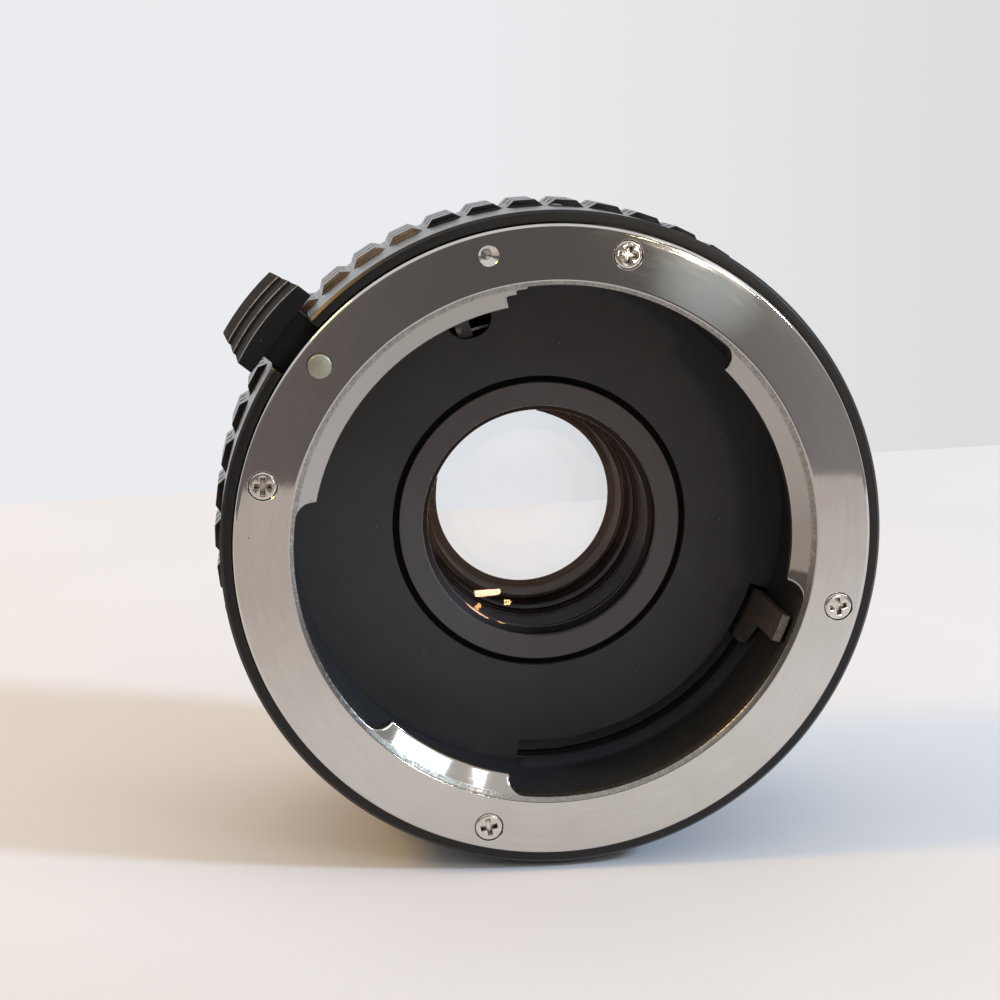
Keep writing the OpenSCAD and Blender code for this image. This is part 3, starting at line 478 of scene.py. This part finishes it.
chrome = turnedChrome("chromePlateTurned", throat)
rearChrome = turnedChrome("chromePlateTurnedRear", 0)  # no slope to scrape
barrelBlack = blackAnodise("blackAnodisedGloss", {
    "dark": "#0d0d0e", "pale": "#141415", "bare": "#8d8780", "wear": 0.02, "wearReach": 0.12,
    "dust": 0.1, "rough": (0.3, 0.44), "coat": 1.0, "shine": 0.2})
gripBlack = blackAnodise("blackAnodisedKnurled", {
    "dark": "#0e0e0e", "pale": "#151414", "bare": "#8d867f", "wear": 0.0, "wearReach": 0.08,
    "dust": 0.1, "rough": (0.28, 0.42), "coat": 1.0, "shine": 0.2, "brown": (1.96, 2.38)})
sliderBlack = blackAnodise("blackAnodisedSatin", {
    "dark": "#0f0f10", "pale": "#151515", "bare": "#6d6964", "wear": -0.06, "wearReach": 0.08,
    "dust": 0.08, "rough": (0.45, 0.6), "coat": 0.0, "shine": 0.2})
opticsBlack = blackAnodise("blackAnodisedTurned", {
    "dark": "#101011", "pale": "#151516", "bare": "#4b4845", "wear": -0.1, "wearReach": 0.05,
    "dust": 0.03, "rough": (0.3, 0.4), "coat": 0.0, "shine": 0.4})
spacerBlack = blackAnodise("blackAnodisedMatt", {
    "dark": "#3d3e45", "pale": "#46474e", "bare": "#6b6866", "wear": -0.1, "wearReach": 0.05,
    "dust": 0.03, "rough": (0.45, 0.55), "coat": 0.0, "shine": 0.4})
# painted light: the front spacer takes a lighter copy of the spacers' black, for light on the tube's wall
frontSpacerLit = blackAnodise("blackAnodisedPaintedLit", {
    "dark": "#6c6c70", "pale": "#76767a", "bare": "#7b7876", "wear": -0.1, "wearReach": 0.05,
    "dust": 0.03, "rough": (0.4, 0.5), "coat": 0.0, "shine": 0.5})
bezelSatin = blackAnodise("blackAnodisedFine", {
    "dark": "#464243", "pale": "#4d494a", "bare": "#8d8a86", "wear": 0.0, "wearReach": 0.05,
    "dust": 0.16, "rough": (0.4, 0.5), "coat": 0.0, "shine": 0.4})
sliderStepHighlight = stepEdgeHighlight()
baffleMatt = mattPaint()
gapBlack = deadBlack()
frontGlass = coatedGlass("flintGlassCoated", 1.60, 84)
backGlass = coatedGlass("crownGlassCoated", 1.52, 105)
screwSteel = nickelPlate("nickelPlatedSteel", {
    "bright": "#e2dfda", "dull": "#c5c0b8", "rough": (0.1, 0.22), "reach": 0.45, "bump": 0.15})
pinNickel = nickelPlate("nickelPlatedBrassDull", {
    "bright": "#aeb0a2", "dull": "#9a9b8c", "rough": (0.42, 0.52), "reach": 0.2, "bump": 0.1})
leverSteel = blackenedSteel()
springBronze = springMetal("phosphorBronze", "#c69a5e", "#8f6a3a")
springSteel = springMetal("springSteelBare", "#b5b3b0", "#7d7a77")
dotEnamel = dullEnamel()
print("materials made")


# Geometry Nodes: copies of the object's own mesh round the optical axis
def aroundAxis():
    tree = bpy.data.node_groups.new("aroundAxis", "GeometryNodeTree")
    tree.interface.new_socket("Geometry", in_out="OUTPUT", socket_type="NodeSocketGeometry")
    for label, kind in (("Geometry", "Geometry"), ("Count", "Int"), ("Radius", "Float"), ("Depth", "Float"),
                        ("First Angle", "Float"), ("Turn", "Float"), ("Spread", "Float"), ("Seed", "Int"),
                        ("Material", "Material")):
        tree.interface.new_socket(label, in_out="INPUT", socket_type="NodeSocket" + kind)
    given = add(tree, "NodeGroupInput", out="all")
    pitch = add(tree, "Math", 2 * math.pi, given["Count"], operation="DIVIDE")
    number = add(tree, "GeometryNodeInputIndex")
    angle = add(tree, "Math", number, pitch, given["First Angle"], operation="MULTIPLY_ADD")
    across = add(tree, "Math", add(tree, "Math", angle, operation="COSINE"), given["Radius"], operation="MULTIPLY")
    up = add(tree, "Math", add(tree, "Math", angle, operation="SINE"), given["Radius"], operation="MULTIPLY")
    spot = add(tree, "CombineXYZ", across, given["Depth"], up)
    points = add(tree, "GeometryNodePoints", given["Count"], spot)
    loose = add(tree, "FunctionNodeRandomValue", 0.0, given["Spread"], data_type="FLOAT",
                named={"Seed": given["Seed"]})
    turn = add(tree, "Math", loose, given["Turn"], operation="ADD")
    spin = add(tree, "CombineXYZ", 0, add(tree, "Math", turn, angle, operation="SUBTRACT"))
    copies = add(tree, "GeometryNodeInstanceOnPoints", points,
                 named={"Instance": given["Geometry"], "Rotation": spin})
    real = add(tree, "GeometryNodeRealizeInstances", copies)
    dressed = add(tree, "GeometryNodeSetMaterial", real, named={"Material": given["Material"]})
    add(tree, "NodeGroupOutput", dressed)
    return tree


axisTree = aroundAxis()


def repeat(obj, values):
    step = obj.modifiers.new("aroundAxis", "NODES")
    step.node_group = axisTree
    for item in axisTree.interface.items_tree:
        if item.in_out == "INPUT" and item.name in values:
            step[item.identifier] = values[item.name]
    applyModifiers(obj)


# Lens mount ring: flat chrome face, three sloping tabs, and three unequal notches between them
ring = {
    "outer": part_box("lens_mount_ring")[1].x / mm, "thick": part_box("lens_mount_ring")[1].y / mm,
    "throat": throat, "tab": 22.7, "notch": 24.4, "tabFront": 1.2, "cutter": 1.6, "chamfer": 0.2, "edge": 0.07,
    "notches": ((45.8, 96.4), (168.4, 227), (258.9, 350)), "ledges": ((24.2, 96.8, 99), (23.8, 99, 101.3)),
    "band": 29.1, "bandDrop": 0.004,
    "screwIn": 2.13, "screwAngle": 76.7, "bore": 1.37, "boreDepth": 0.9, "thread": 0.95, "flare": 0.05,
    "pinAngle": 141.4, "pinHole": 1.13, "dimpleAngle": 103.3, "dimple": 0.975, "dimpleDepth": 0.7,
}
ring["screws"] = ring["outer"] - ring["screwIn"]


def openingOutline(s):  # counter-clockwise through the tabs and notches
    cornerR = s["notch"] - s["cutter"]
    corner = math.degrees(math.asin(s["cutter"] / cornerR))
    outline, tabFrom = [], s["notches"][-1][1] - 360
    for i, (start, end) in enumerate(s["notches"]):
        outline += arc(tabFrom, start, s["tab"])
        centre = polar(start + corner, cornerR)
        outline += [centre + p for p in arc(start - 90, start + corner, s["cutter"], 9)]
        if i == 0:
            outline += arc(start + corner, end, s["notch"])[1:]
            for radius, ledgeFrom, ledgeTo in s["ledges"]:
                outline += arc(ledgeFrom, ledgeTo, radius)
            tabFrom = s["ledges"][-1][2]
        else:
            outline += arc(start + corner, end - corner, s["notch"])[1:]
            centre = polar(end - corner, cornerR)
            outline += [centre + p for p in arc(end - corner, end + 90, s["cutter"], 9)][1:]
            tabFrom = end
    return [p for k, p in enumerate(outline) if (p - outline[k - 1]).length > 0.06]


def makeMountRing(s):
    outline = openingOutline(s)
    slope = s["tabFront"] / (s["throat"] - s["tab"])
    e, outer, thick, drop = s["edge"], s["outer"], s["thick"], s["bandDrop"]
    faceEdge = outer - s["chamfer"]
    flat = ((s["throat"] - 3 * e, 3 * e * slope), (s["throat"] - e, e * slope), (s["throat"], 0.2 * e * slope),
            (s["throat"] + e, 0), (s["throat"] + 3 * e, 0), (s["band"], 0), (s["band"] + 0.1, 0.1 * drop),
            (faceEdge - 3 * e, drop), (faceEdge - e, drop), (faceEdge + 0.3 * e, drop + 0.4 * e),
            (outer - 0.4 * e, s["chamfer"] - 0.3 * e), (outer, s["chamfer"] + e),
            (outer, thick - e), (outer - e, thick))
    points, faces = [], []
    for k, p in enumerate(outline):
        along = (outline[(k + 1) % len(outline)] - outline[k - 1]).normalized()
        into = Vector((along.y, -along.x))
        column = [(p + e * into, thick), (p, thick - e), (p, (s["throat"] - p.length) * slope + e)]
        for share in (0.3, 1, 3):
            q = p + share * e * into
            column.append((q, (s["throat"] - q.length) * slope + max(0, 1 - share) * 0.4 * e))
        column += [(p.normalized() * r, d) for r, d in flat]
        points += [(q.x, d, q.y) for q, d in column]
        n, j = len(column), (k + 1) % len(outline)
        faces += [(k * n + i, k * n + (i + 1) % n, j * n + (i + 1) % n, j * n + i) for i in range(n)]
    obj = makeObject("lensMountRing", points, faces)
    above = 0.5  # the cutters start and end this far outside the ring
    bore, thread, hole, dimple, flare = s["bore"], s["thread"], s["pinHole"], s["dimple"], s["flare"]
    holes = [(polar(s["screwAngle"] + 90 * k, s["screws"]), [
        (0, -above, 0), (bore + flare + above, -above, 0), (bore, flare, 0), (bore, s["boreDepth"], 0),
        (thread, s["boreDepth"], 0), (thread, thick + above, 0), (0, thick + above, 0)]) for k in range(4)]
    holes.append((polar(s["pinAngle"], s["screws"]), [
        (0, -above, 0), (hole + flare + above, -above, 0), (hole, flare, 0),
        (hole, thick + above, 0), (0, thick + above, 0)]))
    holes.append((polar(s["dimpleAngle"], s["screws"]), [
        (0, -above, 0), (dimple + above, -above, 0), (dimple - flare, flare, 0.05),
        (0.1, s["dimpleDepth"], 0.05), (0, s["dimpleDepth"], 0)]))
    combine(obj, [lathe("hole", corners, 48, centre) for centre, corners in holes])
    smooth(obj)
    return obj


piece(makeMountRing(ring), "housing", "mount_chrome", [chrome], "lens_mount_ring")


# Cross-head screws: a flat top with a round rim and a tapered cross, each turned as it was tightened
screw = {"count": 4, "head": 1.36, "height": 0.8, "thread": 0.85, "length": 2.4, "rim": 0.32, "edge": 0.03,
         "crossLength": 1.65, "crossWidth": 0.46, "crossDepth": 0.55, "crossTaper": 0.75,
         "crossAbove": 0.2, "crossFlare": 1.1, "sunk": 0.02, "spread": 0.5}


def makeScrew(name, s, facing):  # its head's top is at depth 0 and looks along -Y, or along +Y with facing -1
    end = s["height"] + s["length"]
    shape = [(0, 0, 0), (s["head"], 0, s["rim"]), (s["head"], s["height"], 0.04),
             (s["thread"], s["height"], 0), (s["thread"], end, 0.1), (0, end, 0)]
    obj = lathe(name, [(r, facing * d, fillet) for r, d, fillet in shape], 40)
    bars = []
    for length, width in ((s["crossLength"], s["crossWidth"]), (s["crossWidth"], s["crossLength"])):
        corners = [(sx * length / 2 * taper, facing * d, sz * width / 2 * taper)
                   for d, taper in ((-s["crossAbove"], s["crossFlare"]), (s["crossDepth"], s["crossTaper"]))
                   for sx, sz in ((-1, -1), (1, -1), (1, 1), (-1, 1))]
        bars.append(makeObject("bar", corners, boxFaces))
    combine(obj, bars)
    bevel(obj, s["edge"], angle=40)
    return obj


def makeScrews(name, facing, radius, depth, firstAngle, turn, seed):
    obj = makeScrew(name, screw, facing)
    repeat(obj, {"Count": screw["count"], "Radius": radius * mm, "Depth": depth * mm,
                 "First Angle": math.radians(firstAngle), "Turn": math.radians(turn), "Spread": screw["spread"],
                 "Seed": seed, "Material": screwSteel})
    smooth(obj)
    return obj


rearFlange = {"depth": 32.0, "screws": 27.15, "screwAngle": 100}
piece(makeScrews("lensMountScrews", 1, ring["screws"], screw["sunk"], ring["screwAngle"], 65, 7),
      "housing", "screw_steel", [screwSteel], "lens_mount_screws")
piece(makeScrews("rearMountScrews", -1, rearFlange["screws"], rearFlange["depth"] - screw["sunk"],
                 rearFlange["screwAngle"], 20, 11), "housing", "screw_steel", [screwSteel], "rear_mount_screws")


# Collar and front barrel: one turned piece with softened edges and the slot for the slider
collar = {"outer": 31.2, "recess": 30.1, "front": 0.7, "end": 9.0, "seat": 30.0, "bore": 25.15, "cupEnd": 12.8,
          "joint": 17.0, "rearBore": 24.4, "chamfer": 0.3, "fillet": 0.08, "edge": 0.05,
          "slotAngle": 141.6, "slotWidth": 5.4, "slotFloor": 26.17, "slotTop": 40, "slotEnd": 9.2}


def blockAt(name, angle, radii, width, depths):  # box across the radial direction at an angle
    out, side = polar(angle, 1), polar(angle + 90, 1)
    corners = []
    for d in depths:
        for r, t in ((radii[0], -1), (radii[1], -1), (radii[1], 1), (radii[0], 1)):
            p = out * r + side * t * width / 2
            corners.append((p.x, d, p.y))
    return makeObject(name, corners, boxFaces)


def makeCollar(s):
    f, c = s["fillet"], s["chamfer"]
    obj = lathe("frontCollar", [
        (s["bore"], ring["thick"], 0), (s["recess"], ring["thick"], 0), (s["recess"], s["front"], s["edge"]),
        (s["outer"] - c, s["front"], f), (s["outer"], s["front"] + c, f), (s["outer"], s["end"], f),
        (s["seat"], s["end"], 0), (s["seat"], s["joint"], 0), (s["rearBore"], s["joint"], 0),
        (s["rearBore"], s["cupEnd"], 0), (s["bore"], s["cupEnd"], 0)], 360)
    radii, depths = (s["slotFloor"], s["slotTop"]), (s["front"] - 1, s["slotEnd"])
    combine(obj, [blockAt("slot", s["slotAngle"], radii, s["slotWidth"], depths)])
    bevel(obj, s["edge"], angle=50)
    smooth(obj)
    return obj


piece(makeCollar(collar), "housing", "barrel_black", [barrelBlack], "front_barrel")


# Grip: a band with trapezoid pads, each cut into three caps by two grooves
grip = {"inner": 30.05, "base": 31.1, "top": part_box("grip_ring")[1].x / mm, "front": 9.0, "end": 16.0, "count": 50,
        "rootRadius": 31.05, "baseShare": 0.97, "topShare": 0.5, "rows": 3, "gap": 0.5, "groove": 0.45, "edge": 0.07}


def makePads(s):  # one pad at angle 0, in its three rows
    half = math.pi / s["count"]
    root = s["rootRadius"] * math.sin(half * s["baseShare"])
    crest = s["top"] * math.tan(half * s["topShare"])
    lean = (crest - root) / (s["top"] - s["rootRadius"])
    low = s["top"] - s["groove"]
    rowLength = (s["end"] - s["front"] - (s["rows"] - 1) * s["gap"]) / s["rows"]
    blocks = [(s["rootRadius"], low + 0.02, s["front"], s["end"])]
    for k in range(s["rows"]):
        start = s["front"] + k * (rowLength + s["gap"])
        blocks.append((low, s["top"], start, start + rowLength))
    points, faces = [], []
    for rLow, rTop, dFrom, dTo in blocks:
        first = len(points)
        wide, narrow = (root + lean * (r - s["rootRadius"]) for r in (rLow, rTop))
        for d in (dFrom, dTo):
            points += [(rLow, d, -wide), (rTop, d, -narrow), (rTop, d, narrow), (rLow, d, wide)]
        faces += [tuple(first + i for i in face) for face in boxFaces]
    pads = makeObject("gripPads", points, faces)
    bevel(pads, s["edge"], angle=30)
    repeat(pads, {"Count": s["count"], "Radius": 0.0, "Depth": 0.0, "First Angle": 0.0, "Turn": 0.0, "Spread": 0.0,
                  "Seed": 0, "Material": gripBlack})
    return pads


def makeGrip(s):
    band = lathe("gripBand", [(s["inner"], s["front"], 0), (s["base"], s["front"], 0.05), (s["base"], s["end"], 0.05),
                              (s["inner"], s["end"], 0)], 300)
    pads = makePads(s)
    work = bmesh.new()
    for part in (band, pads):
        work.from_mesh(part.data)
    work.to_mesh(band.data)
    work.free()
    bpy.data.objects.remove(pads)
    smooth(band)
    return band


piece(makeGrip(grip), "housing", "grip_black", [gripBlack], "grip_ring")


# Release slider: a crowned head of three sloping treads on a shank, its step edges rubbed bare and painted light as
# their highlight
slider = {"angle": 141.6, "front": 3.0, "length": 5.0, "frontWidth": 9.0, "rearWidth": 7.2, "underside": 32.1,
          "frontHeight": 2.0, "rearHeight": 4.3, "treads": 3, "riser": 0.3, "lean": 0.05, "crown": 22.0, "across": 24,
          "edge": 0.07, "shankWidth": 5.24, "shank": (26.47, 32.5), "shankDepths": (3.4, 6.4)}


def makeSlider(s):
    rise = (s["rearHeight"] - s["frontHeight"]) / s["treads"]
    tread = s["length"] / s["treads"]
    steps = [s["front"] + tread * i for i in range(s["treads"])]
    profile = []
    for i in range(s["treads"]):
        last = i == s["treads"] - 1
        profile.append((rise * i, steps[i]))
        profile.append((rise * (i + 1) - (0 if last else s["riser"]), steps[i] + tread - (0 if last else s["lean"])))
    out, side = polar(s["angle"], 1), polar(s["angle"] + 90, 1)
    middle = s["underside"] + s["frontHeight"] - s["crown"]
    points, columns = [], s["across"] + 1
    for top in (True, False):
        for height, d in profile:
            share = (d - s["front"]) / s["length"]
            half = (s["frontWidth"] + (s["rearWidth"] - s["frontWidth"]) * share) / 2
            for i in range(columns):
                t = (2 * i / s["across"] - 1) * half
                r = middle + math.sqrt((s["crown"] + height) ** 2 - t * t) if top else s["underside"]
                p = out * r + side * t
                points.append((p.x, d, p.y))
    rows = len(profile)
    faces = []

    def at(top, row, i):
        return (0 if top else rows * columns) + row * columns + i

    for row in range(rows - 1):
        for i in range(s["across"]):
            for top in (True, False):
                faces.append((at(top, row, i), at(top, row, i + 1), at(top, row + 1, i + 1), at(top, row + 1, i)))
        for i in (0, s["across"]):
            faces.append((at(True, row, i), at(True, row + 1, i), at(False, row + 1, i), at(False, row, i)))
    for i in range(s["across"]):
        for row in (0, rows - 1):
            faces.append((at(True, row, i), at(True, row, i + 1), at(False, row, i + 1), at(False, row, i)))
    obj = makeObject("releaseSlider", points, faces)

    def onStep(edge):  # across the head, at the front of a tread
        low = Vector((out.x, 0, out.y)) * (s["underside"] + 0.5) * mm
        return all(v.co.dot(low) > low.dot(low) and any(abs(v.co.y / mm - d) < 0.01 for d in steps)
                   for v in edge.verts)

    # the step edges take the second material, a light line that is painted highlight as well as wear
    bevel(obj, s["edge"], angle=30, chosen=onStep, finish=1)
    bevel(obj, s["edge"], angle=50)
    combine(obj, [blockAt("shank", s["angle"], s["shank"], s["shankWidth"], s["shankDepths"])], "UNION")
    smooth(obj)
    return obj


piece(makeSlider(slider), "release", "barrel_black", [sliderBlack, sliderStepHighlight], "release_slider")


# Lock pin: a low-domed peg in the mount ring
pin = {"radius": 1.1, "proud": 1.0, "dome": 0.12, "rim": 0.16, "end": 5.78}


def makePin(s):
    dome = [(s["radius"] * k / 8, -s["proud"] + s["dome"] * (k / 8) ** 2, 0) for k in range(7)]  # the rim ends it
    obj = lathe("lockPin", dome + [(s["radius"], s["dome"] - s["proud"], s["rim"]), (s["radius"], s["end"], 0),
                                   (0, s["end"], 0)], 64, polar(ring["pinAngle"], ring["screws"]))
    smooth(obj)
    return obj


piece(makePin(pin), "release", "pin_nickel", [pinNickel], "lock_pin")


# Lenses, spacers and bezel, by the dictionary of the lens group above
def sag(radius, face):
    return abs(face) - math.sqrt(face * face - radius * radius)


def lensFace(vertex, face, rim, clear, count=14):  # points from the axis outwards; a concave front face bulges back
    edge = rim if (face > 0) == (vertex[1] == "front") else clear
    sign = 1 if face > 0 else -1
    return [(edge * k / count, vertex[0] + sign * sag(edge * k / count, face), 0) for k in range(count + 1)]


def makeLens(name, faces, vertex, thickness, s):
    front = lensFace((vertex, "front"), faces[0], s["lensRadius"], s["clear"])
    back = lensFace((vertex + thickness, "back"), faces[1], s["lensRadius"], s["clear"])
    corners = list(front)
    if front[-1][0] < s["lensRadius"]:
        corners.append((s["lensRadius"], front[-1][1], 0))
    if back[-1][0] < s["lensRadius"]:
        corners.append((s["lensRadius"], back[-1][1], 0))
    obj = lathe(name, corners + back[::-1], 128)
    smooth(obj, 12)
    return obj


def makeSpacer(name, dFrom, dTo, s):  # sawtooth grooves, and a narrow ledge at the rear end that catches the light
    end = dTo - s["ledgeLength"]
    count = int((end - dFrom) / s["pitch"])
    pitch = (end - dFrom) / count
    teeth = [(s["spacer"] - s["ledge"], dTo, 0), (s["spacer"] - s["ledge"], end, 0)]
    for k in range(count):
        teeth += [(s["spacer"], end - k * pitch, 0), (s["spacer"] + s["tooth"], end - (k + 0.85) * pitch, 0)]
    obj = lathe(name, teeth + [(s["spacer"], dFrom, 0), (s["lensRadius"], dFrom, 0), (s["lensRadius"], dTo, 0)], 128)
    smooth(obj, 20)
    return obj


frontFace = optics["lenses"][0][1][0]
vertex = optics["front"] + optics["bezelThick"] + optics["skirt"] + sag(optics["clear"], frontFace)
spacerNames = ("front_spacer", "middle_spacer", "rear_spacer")
for k, (node, faces, thickness) in enumerate(optics["lenses"]):
    piece(makeLens(camelName(node), faces, vertex, thickness, optics), "housing", "lens_glass",
          [frontGlass if faces[0] < 0 else backGlass], node)
    if k < len(spacerNames):
        spacer = spacerNames[k]
        low, high = (v.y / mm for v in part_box(spacer))
        piece(makeSpacer(camelName(spacer), low, high, optics), "housing", "optics_black",
              [spacerBlack if k else frontSpacerLit], spacer)
        vertex += thickness + optics["air"][k]


def makeBezel(s):
    rimDepth = s["front"] + s["bezelThick"]
    skirtEnd = rimDepth + s["skirt"]
    coneOut, coneDepth = s["bezelCone"]
    obj = lathe("frontBezel", [
        (s["bezelIn"] + coneOut, s["front"], 0.06), (s["bezel"], s["front"], s["bezelRound"]),
        (s["bezel"], rimDepth, 0), (s["lensRadius"], rimDepth, 0), (s["lensRadius"], skirtEnd, 0),
        (s["clear"], skirtEnd, 0), (s["bezelIn"], s["front"] + coneDepth, 0.05)], 200)
    smooth(obj)
    return obj


piece(makeBezel(optics), "housing", "bezel_satin", [bezelSatin], "front_retaining_ring")

# CAD nodes that keep their own shape
finishes = {
    "bayonet_leaf_springs": springBronze, "index_dot": dotEnamel, "rear_barrel": barrelBlack,
    "barrel_screws": screwSteel, "rear_mount_ring": rearChrome, "front_baffle": baffleMatt,
    "optical_barrel": gapBlack, "rear_retaining_ring": opticsBlack, "rear_baffle": baffleMatt,
    "barrel_lock_ring": opticsBlack,
    "aperture_clip": leverSteel, "aperture_ring": leverSteel, "aperture_spring": springSteel,
    "diaphragm_lever": leverSteel, "diaphragm_spring": springSteel, "release_spring": springSteel,
}
for node, material in finishes.items():
    nodes[node].data.materials.clear()
    nodes[node].data.materials.append(material)
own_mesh(nodes["release_spring"])


# Stage: a pale table that ends behind at a pale wall and in front at a dim room; the table's colour is painted darker
# and warmer towards the front, as shade
stage = {"floor": cadBox[0].z / mm, "front": -205, "back": 209, "backTurn": 0.212, "side": 600,
         "table": ("#dfdedd", "#dbdad9"), "mottle": 60,
         "tableFrontShade": "#beb6b0", "shadeFrom": -35, "shadeTo": -130, "lean": 0.6,
         "wall": ("#ebecef", "#dddddd"), "wallTurn": (0.1, 0.34), "behind": (-0.15, 0.25),
         "room": ("#7b7270", "#66615f"), "roomTurn": (-0.03, 0.1), "roomRight": "#95908f", "rightTurn": (0.19, 0.28),
         "ceiling": "#f9f6f1", "ceilingFrom": (0.25, 0.5),
         "spot": "#c4cdcc", "spotWay": (0.218, -0.972, -0.084), "spotCosine": (0.9992, 0.9998)}


def makeTable(s):
    reach, turn, floor = s["side"], s["backTurn"] * s["side"], s["floor"]
    points = [(-reach, s["front"], floor), (reach, s["front"], floor),
              (reach, s["back"] + turn, floor), (-reach, s["back"] - turn, floor)]
    table = makeObject("table", points, [(0, 1, 2, 3)])
    material, tree = newMaterial("paleTable")
    at = places(tree)
    mottle = add(tree, "TexNoise", at["point"], 1 / s["mottle"], 3)
    pale = add(tree, "Mix", add(tree, "MapRange", mottle, 0.3, 0.7), *s["table"], data_type="RGBA")
    x, y, z = add(tree, "SeparateXYZ", at["point"], out="all")
    # painted shade: the table darkens towards its front and left
    along = add(tree, "Math", x, s["lean"], y, operation="MULTIPLY_ADD")
    near = add(tree, "MapRange", along, s["shadeFrom"], s["shadeTo"])
    surface(tree, {"Base Color": add(tree, "Mix", near, pale, s["tableFrontShade"], data_type="RGBA"), "Roughness": 0.7})
    table.data.materials.append(material)


def makeRoom(s):
    world = bpy.data.worlds.new("room")
    bpy.context.scene.world = world
    world.use_nodes = True
    tree = world.node_tree
    tree.nodes.clear()
    way = add(tree, "TexCoord", out="Generated")
    x, y, z = add(tree, "SeparateXYZ", way, out="all")
    wall = add(tree, "Mix", add(tree, "MapRange", x, *s["wallTurn"]), *s["wall"], data_type="RGBA")
    left = add(tree, "Mix", add(tree, "MapRange", x, *s["roomTurn"]), *s["room"], data_type="RGBA")
    low = add(tree, "Mix", add(tree, "MapRange", x, *s["rightTurn"]), left, s["roomRight"], data_type="RGBA")
    front = add(tree, "Mix", add(tree, "MapRange", z, *s["ceilingFrom"]), low, s["ceiling"], data_type="RGBA")
    near = add(tree, "VectorMath", way, s["spotWay"], operation="DOT_PRODUCT", out="Value")
    lit = add(tree, "Mix", add(tree, "MapRange", near, *s["spotCosine"]), front, s["spot"], data_type="RGBA")
    around = add(tree, "Mix", add(tree, "MapRange", y, *s["behind"]), lit, wall, data_type="RGBA")
    camera = add(tree, "LightPath", out="Is Camera Ray")
    seen = add(tree, "Mix", camera, around, wall, data_type="RGBA")
    add(tree, "OutputWorld", add(tree, "Background", seen, 1.0))


# Soft panels that look at the object's middle: the way to the lamp, its distance and size in metres,
# its power in watts, its colour, and its roll in degrees
lamps = {"warmLamp": ((-0.72, -0.10, 0.68), 0.8, (0.16, 0.16), 2.2, "#ffc14b", 0),
         "coolLamp": ((0.80, -0.35, 0.50), 2.4, (0.26, 0.26), 38, "#c3dcff", 0),
         "window": ((0.56, -0.695, 0.44), 1.2, (0.21, 0.2), 0.85, "#dcf3ff", 0),
         "downlight": ((0.385, -0.736, 0.554), 1.2, (0.06, 0.06), 0.15, "#ffffff", 0),
         "whiteBar": ((0.253, -0.967, -0.018), 1.0, (0.064, 0.016), 0.33, "#fff4e8", 0),
         "yellowBulb": ((0.204, -0.979, 0.009), 1.0, (0.017, 0.013), 0.06, "#fff0b8", 0),
         "orangeBar": ((0.287, -0.957, 0.0255), 1.0, (0.05, 0.012), 0.15, "#ffc890", 45)}
throughLenses = ("warmLamp", "coolLamp")  # the coated lenses show no ghosts of the others


def makeLamp(name, toward, distance, size, power, colour, roll):
    data = bpy.data.lights.new(name, "AREA")
    data.shape = "RECTANGLE"
    data.size, data.size_y = size
    data.energy = power
    data.color = linear(colour)[:3]
    obj = bpy.data.objects.new(name, data)
    bpy.context.scene.collection.objects.link(obj)
    back = Vector(toward).normalized()
    obj.location = Vector((0, 16 * mm, 0)) + back * distance
    obj.rotation_euler = back.to_track_quat("Z", "Y").to_matrix().to_euler()
    obj.rotation_euler.rotate_axis("Z", math.radians(roll))
    obj.visible_transmission = name in throughLenses


makeTable(stage)
makeRoom(stage)
for name, values in lamps.items():
    makeLamp(name, *values)

# Camera of the photograph: above and left of the axis, turned right and tilted down
photo = {"place": (-26.43, -180.25, 39.84), "turn": 6.662, "tilt": 10.97, "lens": 72, "sensor": 36}
camera = bpy.data.objects.new("camera", bpy.data.cameras.new("camera"))
camera.location = Vector(photo["place"]) * mm
camera.rotation_euler = (math.radians(90 - photo["tilt"]), 0, -math.radians(photo["turn"]))
camera.data.lens = photo["lens"]
camera.data.sensor_width = photo["sensor"]
camera.data.clip_start = 0.001
bpy.context.scene.collection.objects.link(camera)
bpy.context.scene.camera = camera
bpy.context.scene.view_settings.view_transform = "Standard"
print("stage, lamps and camera set")
